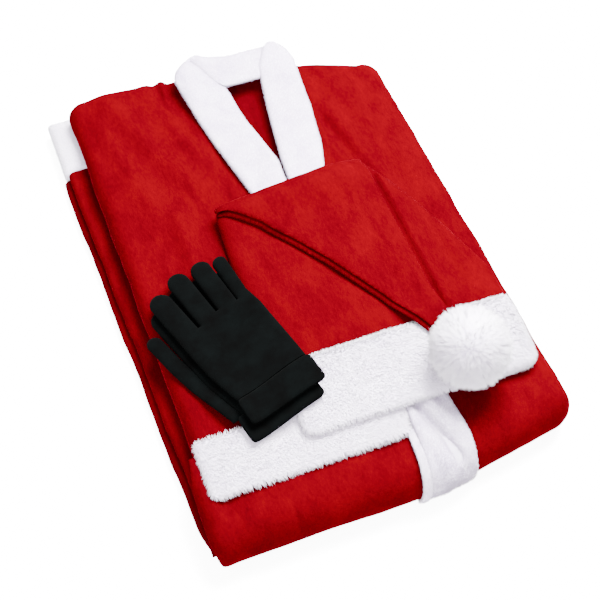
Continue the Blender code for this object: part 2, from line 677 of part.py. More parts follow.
def glove_floor(x, y):
    """Lift of what the lower glove lies on: coat, hem band, or the hat's edge."""
    band = smooth((-0.128 - y) / 0.030) * (ON_TRIM - ON_COAT)
    near_hat = inside(x, y, HAT_OUTLINE[:2] + ((0.207, 0.0), (0.207, 0.1), (-0.068, 0.096)))
    over = smooth((min(near_hat, 0.10) + 0.040) / 0.048) if y > -0.125 else 0.0
    brim = smooth((x + 0.076 + 0.040) / 0.048) * (BRIM_THICK + 0.0009)
    crown = over * (HAT_RISE + 0.0080)
    hat = mix(crown, brim, smooth((-0.085 - y) / 0.040))
    return ON_COAT + max(band, hat)


def hand_outline(shift):
    """Outline of a flat hand, from the wrist's right corner round to its left one."""
    points = [(0.0440, 0.0350), (0.0445 + shift, 0.0800), (0.0440 + shift, 0.1250)]
    for k, (root, tip, width, end, cleft) in enumerate(FINGERS):
        half, centre = width / 2.0, end - width / 2.0
        points.append((root + shift + half - 0.0007, FINGERS[k - 1][4] if k else 0.150))
        points += [(tip + shift + half * math.cos(a), centre + half * math.sin(a))
                   for a in (math.radians(d) for d in range(0, 181, 30))]
        points.append((root + shift - half + 0.0007, cleft))
    points += [(-0.0500 + shift, 0.0800), (-0.0425 + shift, 0.0350)]
    return points


def thumb_outline():
    """The thumb that lies beside the palm, from its root to its tip and back."""
    half, tip = 0.0085, (-0.0630, 0.1810)
    points = [(-0.0400, 0.0480), (-0.0450, 0.0820), (-0.0482, 0.1080)]
    points += [(tip[0] + half * math.cos(a), tip[1] - half + half * math.sin(a))
               for a in (math.radians(d) for d in range(0, 181, 30))]
    points += [(-0.0660, 0.1300), (-0.0605, 0.0980), (-0.0550, 0.0680), (-0.0520, 0.0480)]
    return points


def flat_piece(name, which, outline, low, high, cuts_u=(), cuts_v=()):
    """A flat piece of a glove: outline in the hand's own axes, low and high lifts."""
    solid = bmesh.new()
    solid.faces.new([solid.verts.new((u, v, 0.0)) for u, v in outline])
    for axis, cuts in ((0, cuts_u), (1, cuts_v)):
        for cut in cuts:
            origin, normal = Vector((0.0, 0.0, 0.0)), Vector((0.0, 0.0, 0.0))
            origin[axis], normal[axis] = cut, 1.0
            bmesh.ops.bisect_plane(solid, geom=solid.verts[:] + solid.edges[:] + solid.faces[:],
                                   plane_co=origin, plane_no=normal)
    bmesh.ops.triangulate(solid, faces=solid.faces)
    made = bmesh.ops.extrude_face_region(solid, geom=solid.faces[:], use_keep_orig=True)
    for item in made["geom"]:
        if isinstance(item, bmesh.types.BMVert):
            item.co.z = 1.0
    for vert in solid.verts:
        share = vert.co.z
        x, y = glove_place(which, vert.co.x, vert.co.y)
        lift = glove_floor(x, y) + (high if share > 0.5 else low)
        vert.co = (x, y, top_height(x, y) + lift)
    return finish(name, solid, "black_fleece")


def build_gloves():
    cuts_u, cuts_v = (-0.032, -0.014, 0.004, 0.020, 0.034), (0.055, 0.075, 0.095, 0.120, 0.165)
    level = 0.0
    for which in ("lower", "upper"):
        shift = GLOVE_PLACES[which][2]
        palm, back = level, level + GLOVE_LAYER + GLOVE_GAP
        for side, low in (("palm", palm), ("back", back)):
            flat_piece("glove_%s_%s" % (which, side), which, hand_outline(shift), low,
                       low + GLOVE_LAYER, cuts_u, cuts_v)
        top = back + GLOVE_LAYER + 2.0 * SEAM_GAP
        flat_piece("glove_%s_cuff" % which, which, GLOVE_CUFF, level, top, cuts_u, (0.012, 0.024))
        level = back + GLOVE_LAYER + GLOVE_REST
    flat_piece("glove_lower_thumb", "lower", thumb_outline(), 0.0, 1.6 * GLOVE_LAYER, (),
               (0.080, 0.120, 0.150))


# ---------------------------------------------------------------- scene
def clear_scene():
    for item in list(bpy.data.objects):
        bpy.data.objects.remove(item)


def make_material(name, colour):
    material = bpy.data.materials.new(name)
    material.use_nodes = True
    shader = material.node_tree.nodes["Principled BSDF"]
    shader.inputs["Base Color"].default_value = colour
    shader.inputs["Roughness"].default_value = 0.9
    shader.inputs["Metallic"].default_value = 0.0
    return material


clear_scene()
SUIT = bpy.data.collections.new("santa_suit")
CUTTERS = bpy.data.collections.new("cutters")
for group in (SUIT, CUTTERS):
    bpy.context.scene.collection.children.link(group)
MATERIALS = {name: make_material(name, colour) for name, colour in COLOURS.items()}

build_core()
build_coat_panels()
build_collar()
build_trims()
build_trousers()
build_hat()
build_gloves()
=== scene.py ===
"""Finish of a Santa suit folded for a shelf: velvet, plush pile, fleece gloves and a studio.

Metres, +Z up.
"""
import math

import bmesh
import bpy
import numpy as np
from bpy.props import FloatProperty, FloatVectorProperty, PointerProperty
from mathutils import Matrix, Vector, noise
from mathutils.kdtree import KDTree


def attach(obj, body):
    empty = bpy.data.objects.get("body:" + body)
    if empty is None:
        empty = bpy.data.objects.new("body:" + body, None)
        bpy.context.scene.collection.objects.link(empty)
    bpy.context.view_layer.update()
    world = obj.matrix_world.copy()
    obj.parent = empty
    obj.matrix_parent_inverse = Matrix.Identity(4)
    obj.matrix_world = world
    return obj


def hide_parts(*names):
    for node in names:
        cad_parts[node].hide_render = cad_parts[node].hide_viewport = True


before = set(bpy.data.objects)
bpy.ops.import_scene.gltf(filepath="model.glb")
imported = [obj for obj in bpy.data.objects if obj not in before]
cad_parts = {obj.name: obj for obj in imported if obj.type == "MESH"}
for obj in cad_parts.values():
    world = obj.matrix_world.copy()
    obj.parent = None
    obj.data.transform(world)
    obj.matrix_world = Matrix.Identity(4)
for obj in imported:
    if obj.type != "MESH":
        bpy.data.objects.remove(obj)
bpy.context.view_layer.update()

bl_info = {
    "name": "Folded Santa Suit",
    "version": (1, 0, 0),
    "blender": (4, 5, 0),
    "location": "View3D > Sidebar > Suit",
    "description": "Builds the cloth, plush, gloves and stage of a folded Santa suit",
    "category": "Object",
}

# ---------------------------------------------------------------- sizes shared with the solids
CLOTH = 0.0025              # velvet wall
PLUSH = 0.0090              # plush trim, pile and backing
SEAM_GAP = 0.0003           # between pieces that touch
CORE_GAP = 0.0009           # between the hidden layers and the cloth over them
DEEP_FOLD, FLAT_FOLD = 0.0271, 0.0129       # radii of the core's folds
CORE_TOP = CLOTH + CORE_GAP + 2.0 * DEEP_FOLD
LEFT_TURN, RIGHT_TURN = -0.174, 0.192       # where the flat top starts to turn down
BOTTOM_TURN, TOP_TURN = -0.271, 0.341
CUFF_LINE = 0.270                           # trouser legs end here and their cuffs begin
CENTRE_SEAM = 0.050
HEM_LINE = -0.190
RIGHT_REACH = BOTTOM_REACH = math.radians(157.5)
LEFT_REACH = math.radians(150.0)
TOP_REACH = math.radians(90.0)
TRIM_GAP = 0.0006           # between a plush trim and what it lies on
ON_COAT = CORE_GAP + CLOTH + SEAM_GAP
BAND_LIFT = ON_COAT + TRIM_GAP
ON_TRIM = BAND_LIFT + PLUSH + TRIM_GAP
# the bundle's ends are not square: knots of the slant along x, and the shift there
SHOULDER_SLANT = ((-0.260, 0.0), (-0.030, 0.0), (0.086, -0.0205), (0.260, -0.0826))
HEM_SLANT = ((-0.260, 0.0), (0.050, 0.0), (0.260, 0.0350))
SLANT_TOP, SLANT_LOW = 0.050, -0.020        # above and below these lines the slants set in
NECK_FLOOR = CORE_TOP - 0.009               # the neck opening sinks by 9 mm
COLLAR_RISE = 0.014         # the collar stands away from the back neck
LEG_TAPER = 0.0115          # the trouser edge runs in towards the hem
TAPER_LINE, TAPER_RUN = 0.240, 0.480        # from this line down, over this length
LEG_WAVE, LEG_WAVES = 0.0007, 37.0          # it waves either way, radians to the metre
LEG_BEND = -0.235           # below this line its lower end rounds off
LEG_ROUND, LEG_ROUND_RUN = 0.012, 0.050     # by this much, over this length
CUFF_HALF, CUFF_EDGE = 0.0136, 0.013        # half a cuff's thickness, and its rounded edge
ORIGIN = Vector((0.0006, 0.0367, 0.0))      # centre of the finished bundle's box
# soft folds of the top: from, to, half-width, height
FOLDS = (
    ((-0.130, 0.330), (-0.060, 0.180), 0.020, 0.0022),
    ((-0.150, 0.180), (-0.100, 0.090), 0.024, 0.0018),
    ((0.120, 0.270), (0.175, 0.120), 0.022, 0.0020),
)
CROWN = 0.0032              # fullness of the bundle's top, and its middle and half-span
CROWN_SPAN = ((0.009, 0.200), (0.029, 0.320))
HAT_OUTLINE = ((-0.076, -0.125), (0.207, -0.130), (0.204, -0.070), (0.186, -0.010),
               (0.163, 0.045), (0.150, 0.080), (0.122, 0.116), (-0.068, 0.096), (-0.074, 0.020))
FREE_EDGE = 7               # the outline's upper left edge, which doesn't thin the crown
CROWN_RIM = 0.0035          # thickness of the crown's under layer at its rim
HAT_RISE, HAT_EDGE = 0.0075, 0.024          # fullness of the crown, and how far in it is reached
BRIM_THICK = 0.0205
# the tail's under layer lies this far over the crown, is this thick, and carries the upper one
TAIL_GAP, TAIL_UNDER, TAIL_SEAM = 0.0019, 0.0055, 0.0009
POMPOM_CENTRE = (0.117, -0.199, 0.1190)
POMPOM_REACH, POMPOM_BACKING = 0.0495, 0.024
# each finger, thumb side last: middle at root and at tip, width, tip, cleft beside it
FINGERS = (
    (0.0335, 0.0365, 0.0160, 0.209, 0.145),
    (0.0140, 0.0150, 0.0235, 0.219, 0.149),
    (-0.0125, -0.0145, 0.0255, 0.220, 0.142),
    (-0.0405, -0.0455, 0.0265, 0.206, 0.110),
)
# place of each glove's wrist, its turn, and how far its fingers lean
GLOVE_PLACES = {
    "upper": ((-0.0800, -0.1800), math.radians(13.0), 0.0),
    "lower": ((-0.0850, -0.1930), math.radians(14.5), 0.006),
}
# thickness of a palm or back, the gap between them, and between the two gloves
GLOVE_LAYER, GLOVE_GAP, GLOVE_REST = 0.0038, 0.0009, 0.0032
GLOVE_HEM = 0.0036          # thickness of the turned hem of a glove's cuff
THUMB_HALF = 0.0031         # half the thickness of the lower glove's thumb
# the neck opening's sides: places along y, and x there
LEFT_NECK = ((0.096, 0.0497), (0.126, 0.0140), (0.350, -0.0300))
RIGHT_NECK = ((0.096, 0.0503), (0.126, 0.0600), (0.350, 0.0860))

# ---------------------------------------------------------------- creases placed one by one
CREASE_REACH = 3.0          # a crease has faded out at this many half-widths
# each row: start, end, half-width, height (a trough is negative)
LEFT_CREASES = (
    ((-0.168, 0.342), (-0.075, 0.350), 0.0150, 0.0045),
    ((-0.074, 0.352), (-0.066, 0.300), 0.0060, -0.0033),
    ((-0.061, 0.352), (-0.066, 0.318), 0.0045, 0.0024),
    ((-0.050, 0.352), (-0.057, 0.250), 0.0075, -0.0039),
    ((-0.140, 0.329), (-0.078, 0.170), 0.0180, 0.0048),
    ((-0.160, 0.306), (-0.134, 0.160), 0.0140, 0.0034),
    ((-0.070, 0.270), (-0.044, 0.170), 0.0110, 0.0034),
    ((-0.104, 0.310), (-0.092, 0.225), 0.0120, -0.0023),
    ((-0.024, 0.198), (-0.039, 0.160), 0.0070, -0.0021),
    ((-0.090, 0.110), (-0.096, 0.036), 0.0100, -0.0045),
    ((-0.109, 0.122), (-0.114, 0.030), 0.0110, 0.0040),
    ((-0.150, 0.060), (-0.128, -0.060), 0.0160, 0.0019),
    ((-0.120, 0.010), (-0.150, -0.110), 0.0140, -0.0015),
)
RIGHT_CREASES = (
    ((0.111, 0.209), (0.124, 0.146), 0.0060, -0.0030),
    ((0.102, 0.182), (0.110, 0.138), 0.0050, 0.0021),
    ((0.124, 0.231), (0.151, 0.070), 0.0110, 0.0044),
    ((0.137, 0.290), (0.166, 0.190), 0.0120, 0.0034),
    ((0.118, 0.312), (0.134, 0.285), 0.0060, -0.0027),
    ((0.160, 0.260), (0.190, 0.060), 0.0160, 0.0018),
    ((0.212, -0.130), (0.200, -0.200), 0.0100, -0.0015),
    ((0.150, -0.230), (0.205, -0.255), 0.0110, 0.0018),
)
SKIRT_CREASES = (
    ((-0.196, -0.195), (-0.188, -0.262), 0.0080, 0.0034),
    ((-0.178, -0.200), (-0.172, -0.300), 0.0090, -0.0016),
    ((-0.100, -0.262), (-0.030, -0.258), 0.0120, 0.0013),
)
HAT_CREASES = (
    ((0.1368, 0.098), (0.1358, -0.112), 0.0072, 0.0064),
    ((0.1300, 0.100), (0.1285, -0.115), 0.0040, -0.0030),
    ((0.166, 0.020), (0.164, -0.090), 0.0070, -0.0026),
    ((-0.010, 0.000), (0.060, -0.060), 0.0140, -0.0014),
    ((-0.040, -0.040), (0.000, -0.110), 0.0120, 0.0014),
)
TAIL_CREASES = (
    ((0.1180, 0.100), (0.1170, -0.110), 0.0050, 0.0018),
    ((0.100, 0.080), (0.108, -0.100), 0.0110, 0.0012),
    ((0.040, 0.060), (0.092, -0.060), 0.0120, -0.0010),
    ((0.088, -0.060), (0.104, -0.150), 0.0060, -0.0014),
)
FRONT_CREASES = (
    ((0.050, -0.216), (0.071, -0.288), 0.0042, -0.0074),
    ((0.063, -0.212), (0.081, -0.266), 0.0060, 0.0020),
    ((0.040, -0.232), (0.058, -0.300), 0.0060, 0.0020),
)
COLLAR_CREASES = (
    ((-0.0180, 0.350), (0.0110, 0.300), 0.0060, -0.0034),
    ((-0.0350, 0.338), (-0.0300, 0.300), 0.0080, 0.0014),
    ((0.0180, 0.190), (-0.0080, 0.130), 0.0080, -0.0016),
)
LEG_CREASES = (
    ((-0.206, 0.263), (-0.196, 0.206), 0.0070, -0.0052),
    ((-0.193, 0.227), (-0.195, 0.139), 0.0080, 0.0031),
    ((-0.204, 0.120), (-0.196, 0.030), 0.0090, -0.0018),
)


# ---------------------------------------------------------------- small helpers
def clamp(value, low=0.0, high=1.0):
    return max(low, min(high, value))


def smooth(value):
    value = clamp(value)
    return value * value * (3.0 - 2.0 * value)


def mix(a, b, t):
    return a + (b - a) * t


def past(value, ramp):
    """0 before a ramp's line, 1 its run beyond it; a negative run rises the other way."""
    line, run = ramp
    return smooth((value - line) / run)


def along(table, x):
    """Read a table of (x, value) rows, straight between the rows."""
    for (x0, v0), (x1, v1) in zip(table, table[1:]):
        if x <= x1:
            return mix(v0, v1, clamp((x - x0) / (x1 - x0)))
    return table[-1][1]


def quarter(distance, edge):
    """Height 0..1 of a rounded edge at a distance inside it."""
    return math.sqrt(1.0 - (1.0 - clamp(distance / edge)) ** 2)


def stations(start, end, step, edge=0.0):
    """Places from start to end about a step apart, close together over rounded edges."""
    sign = 1.0 if end > start else -1.0
    near = [edge * share * sign for share in (0.0, 0.12, 0.4)] if edge else [0.0]
    first, last = start + edge * sign, end - edge * sign
    count = max(1, round(abs(last - first) / step))
    middle = [mix(first, last, i / count) for i in range(count + 1)]
    if not edge:
        return middle
    return [start + n for n in near] + middle + [end - n for n in near[::-1]]


def segment_distance(x, y, start, end):
    """Distance of a place from a straight line between two places."""
    ax, ay, bx, by = x - start[0], y - start[1], end[0] - start[0], end[1] - start[1]
    t = clamp((ax * bx + ay * by) / (bx * bx + by * by))
    return math.hypot(ax - t * bx, ay - t * by)


def creases(table, x, y):
    """Height of the listed creases at a place, faded towards their ends."""
    height = 0.0
    for start, end, half_width, rise in table:
        away = segment_distance(x, y, start, end) / half_width
        if away < CREASE_REACH:
            height += rise * math.exp(-away * away)
    return height


def ripple(x, y, scale, height, seed=0.0):
    """Soft unevenness of cloth that has been folded and handled."""
    return height * noise.noise(Vector((x / scale + seed, y / scale - seed, seed)))


def inside(x, y, outline, skip=None):
    """Signed distance to a convex outline, positive inside; one edge may be left out."""
    result = 1.0
    for k, ((x0, y0), (x1, y1)) in enumerate(zip(outline, outline[1:] + outline[:1])):
        if k == skip:
            continue
        length = math.hypot(x1 - x0, y1 - y0)
        result = min(result, ((x1 - x0) * (y - y0) - (y1 - y0) * (x - x0)) / length)
    return result


# ---------------------------------------------------------------- the bundle's skin
def lean(x, y):
    """Slant of the shoulder line and of the bottom fold towards the right side."""
    up = smooth((y - SLANT_TOP) / (TOP_TURN - SLANT_TOP))
    down = smooth((SLANT_LOW - y) / (SLANT_LOW - BOTTOM_TURN))
    return y + along(SHOULDER_SLANT, x) * up + along(HEM_SLANT, x) * down


def unlean(x, y):
    """The place on the square bundle that lean() brings to y."""
    place = y
    for _ in range(8):
        place += y - lean(x, place)
    return place


def swell(x, y):
    """Height of the top's soft fullness and folds over the flat core."""
    (mid_x, half_x), (mid_y, half_y) = CROWN_SPAN
    width = 1.0 - ((x - mid_x) / half_x) ** 2
    length = 1.0 - ((y - mid_y) / half_y) ** 2
    height = CROWN * clamp(width) * clamp(length)
    for start, end, half_width, rise in FOLDS:
        away = segment_distance(x, y, start, end) / half_width
        height += rise * math.exp(-away * away)
    return max(0.0, height)


def chord(radius, drop):
    """How far out a round fold reaches at a drop below its top."""
    drop = clamp(drop, 0.0, 2.0 * radius)
    return math.sqrt(radius * radius - (radius - drop) ** 2)


def bare_skin(u, v, wrap_left):
    """The core's surface at cloth place (u, v): flat on top, turned down past the folds."""
    over_x, over_y = 0.0, 0.0
    side_x, side_y = 1.0, 1.0
    radius_x, reach_x, radius_y, reach_y = DEEP_FOLD, RIGHT_REACH, FLAT_FOLD, TOP_REACH
    if u > RIGHT_TURN:
        over_x = (u - RIGHT_TURN) / DEEP_FOLD
    elif u < LEFT_TURN and wrap_left:
        over_x, side_x = (LEFT_TURN - u) / FLAT_FOLD, -1.0
        radius_x, reach_x = FLAT_FOLD, LEFT_REACH
    if v > TOP_TURN:
        over_y = (v - TOP_TURN) / FLAT_FOLD
    elif v < BOTTOM_TURN:
        over_y, side_y = (BOTTOM_TURN - v) / DEEP_FOLD, -1.0
        radius_y, reach_y = DEEP_FOLD, BOTTOM_REACH
    if over_x == 0.0 and over_y == 0.0:
        return Vector((u, lean(u, v), CORE_TOP))
    part_x, part_y = over_x / reach_x, over_y / reach_y
    if part_x >= part_y:
        turn = math.radians(45.0) * part_y / part_x
    else:
        turn = math.radians(90.0) - math.radians(45.0) * part_x / part_y
    across, onward = math.cos(turn), math.sin(turn)
    angle = max(part_x, part_y) * (reach_x * across ** 2 + reach_y * onward ** 2)
    drop = (radius_x * across ** 2 + radius_y * onward ** 2) * (1.0 - math.cos(angle))
    out_x, out_y = chord(radius_x, drop), chord(radius_y, drop)
    if side_y > 0.0 and drop > radius_y:
        out_y = radius_y
    edge_x = clamp(u, LEFT_TURN, RIGHT_TURN) if over_x else u
    edge_y = clamp(v, BOTTOM_TURN, TOP_TURN) if over_y else v
    x = edge_x + side_x * out_x * across
    y = edge_y + side_y * out_y * onward
    return Vector((x, lean(edge_x, edge_y) + y - edge_y, CORE_TOP - drop))


def skin(u, v, wrap_left=True):
    """A point of the core's surface with the top's swell, and the normal there."""
    step = 0.0004               # half the span over which the slope is taken
    here = bare_skin(u, v, wrap_left)
    along_u = bare_skin(u + step, v, wrap_left) - bare_skin(u - step, v, wrap_left)
    along_v = bare_skin(u, v + step, wrap_left) - bare_skin(u, v - step, wrap_left)
    normal = along_u.cross(along_v)
    normal = normal.normalized() if normal.length > 1e-9 else Vector((0.0, 0.0, 1.0))
    rise = swell(here.x, here.y) * clamp(normal.z) ** 2
    return here + Vector((0.0, 0.0, rise)), normal


def top_height(x, y):
    """Height of the core's top with its swell."""
    return CORE_TOP + swell(x, y)


# ---------------------------------------------------------------- mesh and material helpers
def linear(code):
    """An sRGB hex colour as linear RGBA."""
    values = [int(code[i:i + 2], 16) / 255.0 for i in (1, 3, 5)]
    return [v / 12.92 if v <= 0.04045 else ((v + 0.055) / 1.055) ** 2.4 for v in values] + [1.0]


def node(material, kind, links=(), **settings):
    """Add a shader node with its settings; links pair inputs with sockets or plain values."""
    made = material.node_tree.nodes.new(kind)
    for name, value in settings.items():
        if hasattr(made, name):
            setattr(made, name, value)
        else:
            made.inputs[name.replace("_", " ")].default_value = value
    for target, source in links:
        if isinstance(source, bpy.types.NodeSocket):
            material.node_tree.links.new(source, made.inputs[target])
        else:
            made.inputs[target].default_value = source
    return made


def add_piece(name, mesh, kind):
    """An object of the suit on the root body, in its material and that material's slot."""
    piece = bpy.data.objects.new(name, mesh)
    bpy.context.scene.collection.objects.link(piece)
    mesh.materials.append(finish_of(kind))
    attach(piece, "root")
    return piece


def finish_piece(name, mesh_data, kind, replaced, smooth_angle=60.0):
    """Turn a bmesh in bundle coordinates into the piece that stands for a node."""
    bmesh.ops.translate(mesh_data, verts=mesh_data.verts, vec=-ORIGIN)
    bmesh.ops.recalc_face_normals(mesh_data, faces=mesh_data.faces)
    if mesh_data.calc_volume(signed=True) < 0.0:
        bmesh.ops.reverse_faces(mesh_data, faces=mesh_data.faces)
    for face in mesh_data.faces:
        face.smooth = True
    mesh = bpy.data.meshes.new(name)
    mesh_data.to_mesh(mesh)
    mesh_data.free()
    mesh.set_sharp_from_angle(angle=math.radians(smooth_angle))
    piece = add_piece(name, mesh, kind)
    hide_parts(replaced)
    return piece


def doubled(flat):
    """Double a flat bmesh into a closed one; gives the vertices of its upper side."""
    made = bmesh.ops.extrude_face_region(flat, geom=flat.faces[:], use_keep_orig=True)
    upper = {item for item in made["geom"] if isinstance(item, bmesh.types.BMVert)}
    # the rim's faces come last, but in another order each run, and the pile is drawn by face
    flat.verts.index_update()
    flat.faces.index_update()
    rim = [face for face in flat.faces if 0 < len(upper.intersection(face.verts)) < len(face.verts)]
    rim.sort(key=lambda face: sorted(vert.index for vert in face.verts))
    for index, face in enumerate(rim, len(flat.faces) - len(rim)):
        face.index = index
    flat.faces.sort()
    return upper


def laid_grid(columns, rows, side):
    """A closed bmesh over a grid of cloth places; side(u, v, way) gives its two faces."""
    across, onward = len(columns) - 1, len(rows) - 1
    mesh_data = bmesh.new()
    bmesh.ops.create_grid(mesh_data, x_segments=across, y_segments=onward, size=1.0)
    upper = doubled(mesh_data)
    places = {}
    for vert in mesh_data.verts:
        u = columns[round((vert.co.x + 1.0) / 2.0 * across)]
        v = rows[round((vert.co.y + 1.0) / 2.0 * onward)]
        places[vert] = (u, v)
        vert.co = side(u, v, 1.0 if vert in upper else -1.0)
    cloth_map = mesh_data.loops.layers.uv.new("cloth")
    for face in mesh_data.faces:
        for loop in face.loops:
            loop[cloth_map].uv = places[loop.vert]
    return mesh_data


CUT_SHARE = 0.12            # share of a cloth's thickness that is left at its cut edge


def cloth_side(surface, columns, rows, thick, edge):
    """Side function of a cloth wall whose cut edges are rounded down to CUT_SHARE of it."""
    known = {}

    def side(u, v, way):
        if (u, v) not in known:
            near = min(abs(u - columns[0]), abs(columns[-1] - u),
                       abs(v - rows[0]), abs(rows[-1] - v))
            point, normal = surface(u, v)
            known[u, v] = point, normal * (thick / 2.0 * max(CUT_SHARE, quarter(near, edge)))
        point, half = known[u, v]
        return point + half * way
    return side


def base_material(name, colour, roughness, sheen=0.0, sheen_roughness=0.5, specular=0.5):
    """A material and its shader, with the sheen that a pile gives."""
    material = bpy.data.materials.new(name)
    material.use_nodes = True
    shader = material.node_tree.nodes["Principled BSDF"]
    for socket, value in (("Base Color", colour), ("Roughness", roughness), ("Metallic", 0.0),
                          ("Sheen Weight", sheen), ("Sheen Roughness", sheen_roughness),
                          ("Specular IOR Level", specular)):
        shader.inputs[socket].default_value = value
    return material, shader


def two_tone(material, level, dark, light, low=0.0, high=1.0):
    """A level shown as a colour between a dark tone and a light one."""
    ramp = node(material, "ShaderNodeValToRGB", [("Fac", level)])
    for element, colour, place in zip(ramp.color_ramp.elements, (dark, light), (low, high)):
        element.color = colour
        element.position = place
    return ramp.outputs["Color"]


def roughen(material, shader, height, strength, distance):
    """Bump a surface by the height of its nap."""
    bump = node(material, "ShaderNodeBump", [("Height", height)],
                Strength=strength, Distance=distance)
    material.node_tree.links.new(bump.outputs["Normal"], shader.inputs["Normal"])


def velvet(name, light, dark, rim):
    """Polyester velvet: a short brushed pile, mottled where the nap was stroked two ways."""
    material, shader = base_material(name, light, 0.75, sheen=0.30, sheen_roughness=0.11,
                                     specular=0.0)
    shader.inputs["Sheen Tint"].default_value = rim
    place = node(material, "ShaderNodeTexCoord").outputs["Object"]
    stroked = node(material, "ShaderNodeMapping", [("Vector", place)],
                   Rotation=(0.0, 0.0, math.radians(35.0)),
                   Scale=(1.0, 0.45, 1.0)).outputs["Vector"]
    # clouds of stroked nap about 60 and 22 mm across, broken up by brush marks of about 3 mm
    cloud, patch, tuft = (
        node(material, "ShaderNodeTexNoise", [("Vector", stroked)], Scale=scale, Detail=detail,
             Roughness=roughness, Distortion=distortion).outputs["Fac"]
        for scale, detail, roughness, distortion in (
            (16.0, 2.0, 0.5, 0.4), (46.0, 3.0, 0.5, 0.6), (330.0, 3.0, 0.75, 0.0)))
    clouds = node(material, "ShaderNodeMath", [(0, cloud), (1, 0.35), (2, patch)],
                  operation="MULTIPLY_ADD").outputs[0]
    shade = node(material, "ShaderNodeMath", [(0, tuft), (1, clouds)], operation="ADD").outputs[0]
    level = node(material, "ShaderNodeMapRange", [("Value", shade)],
                 From_Min=0.65, From_Max=1.81).outputs["Result"]
    material.node_tree.links.new(two_tone(material, level, dark, light),
                                 shader.inputs["Base Color"])
    # pile tips about 1 mm apart, drawn coarser than the real 0.4 mm
    grain = node(material, "ShaderNodeTexNoise", [("Vector", place)],
                 Scale=900.0, Detail=2.0, Roughness=0.6).outputs["Fac"]
    relief = node(material, "ShaderNodeMath", [(0, grain), (1, tuft)], operation="ADD")
    roughen(material, shader, relief.outputs[0], 0.5, 0.0009)
    return material


def plush(name, light, dark, roots=None):
    """Polyester plush: long soft white pile, faintly lilac; any root colour given is painted shade
    in its depths.
    """
    material, shader = base_material(name, light, 0.9, sheen=0.3, specular=0.1)
    place = node(material, "ShaderNodeTexCoord").outputs["Object"]
    # pile stroked in patches about 24 mm across, with detail down to about 3 mm
    clump = node(material, "ShaderNodeTexNoise", [("Vector", place)],
                 Scale=42.0, Detail=3.0, Roughness=0.62).outputs["Fac"]
    colour = two_tone(material, clump, dark, light, 0.32, 0.62)
    if roots:
        # painted shade: each tuft's colour darkens towards its root, standing for the shade its
        # neighbours cast there
        height = node(material, "ShaderNodeAttribute", attribute_name="height").outputs["Fac"]
        blend = node(material, "ShaderNodeMix", [("Factor", height)], data_type="RGBA")
        painted_root_shade, to_tip = (socket for socket in blend.inputs if socket.type == "RGBA")
        painted_root_shade.default_value = roots
        material.node_tree.links.new(colour, to_tip)
        colour = next(socket for socket in blend.outputs if socket.type == "RGBA")
    material.node_tree.links.new(colour, shader.inputs["Base Color"])
    return material


def fleece(name, light, dark):
    """Brushed polyester fleece: a matt black knit with a very short even nap."""
    material, shader = base_material(name, light, 0.95, sheen=0.003, sheen_roughness=0.6,
                                     specular=0.0)
    place = node(material, "ShaderNodeTexCoord").outputs["Object"]
    # faint clouds about 22 mm across, and a nap of about 0.7 mm
    cloud, grain = (
        node(material, "ShaderNodeTexNoise", [("Vector", place)], Scale=scale, Detail=detail,
             Roughness=0.6).outputs["Fac"]
        for scale, detail in ((45.0, 4.0), (1400.0, 2.0)))
    material.node_tree.links.new(two_tone(material, cloud, dark, light, 0.3, 0.7),
                                 shader.inputs["Base Color"])
    roughen(material, shader, grain, 0.35, 0.0006)
    return material


FINISHES = {}


def finish_of(kind):
    """One of the suit's materials, made when it is first asked for."""
    colours = bpy.context.scene.suit_colours
    makers = {
        "velvet": lambda: velvet("polyester_velvet", colours.velvet, linear("#280003"),
                                 linear("#FF3452")),
        "velvet_reverse": lambda: velvet("velvet_reverse", colours.reverse, linear("#240002"),
                                         linear("#C03038")),
        "plush": lambda: plush("polyester_plush", colours.backing, linear("#BDB4C8")),
        # the last colour given to a pile is painted shade at its tufts' roots
        "pile": lambda: plush("plush_pile", colours.pile, linear("#E6DDEC"),
                              linear("#CFC4DA")),
        # a darker copy of the white pile: painted shade on the collar and front bands
        "trim_pile": lambda: plush("short_plush_pile", colours.trim, linear("#A99BB6"),
                                   linear("#9C8EAA")),
        "fleece": lambda: fleece("brushed_fleece", colours.fleece, linear("#020202")),
    }
    if kind not in FINISHES:
        FINISHES[kind] = makers[kind]()
    return FINISHES[kind]


# ---------------------------------------------------------------- plush pile
TUFT = 0.0010               # width of a tuft's root
ROOT_DEPTH = 0.0006         # tufts are rooted this far inside their backing
TUFT_LENGTHS, CLUMP_LENGTHS = (0.72, 1.0), (0.85, 1.08)     # shares of the pile's length
TUFT_SWIRL, CLUMP_SWIRL, SWIRL_SHARE = 0.14, 0.18, 0.5      # spread of directions
TUFT_PULLS = (0.4, 1.0)     # share of its clump's pull that a tuft follows
COMB_LEAST = 0.3            # the comb fades where less of it than this lies along the surface
TIP_SHADE = 0.2             # share of its own direction in a tip's shading
FACING_DOWN = -0.35         # a face whose normal dips further lies on the cloth
SQUARE_MM = 1e6             # square millimetres in a square metre


def unit(rows):
    """Each row's direction."""
    return rows / np.linalg.norm(rows, axis=-1, keepdims=True)


def read_rows(items, name, kind=float):
    """One attribute of a mesh's vertices or triangles, as rows of three."""
    values = np.zeros(len(items) * 3, kind)
    items.foreach_get(name, values)
    return values.reshape(-1, 3)


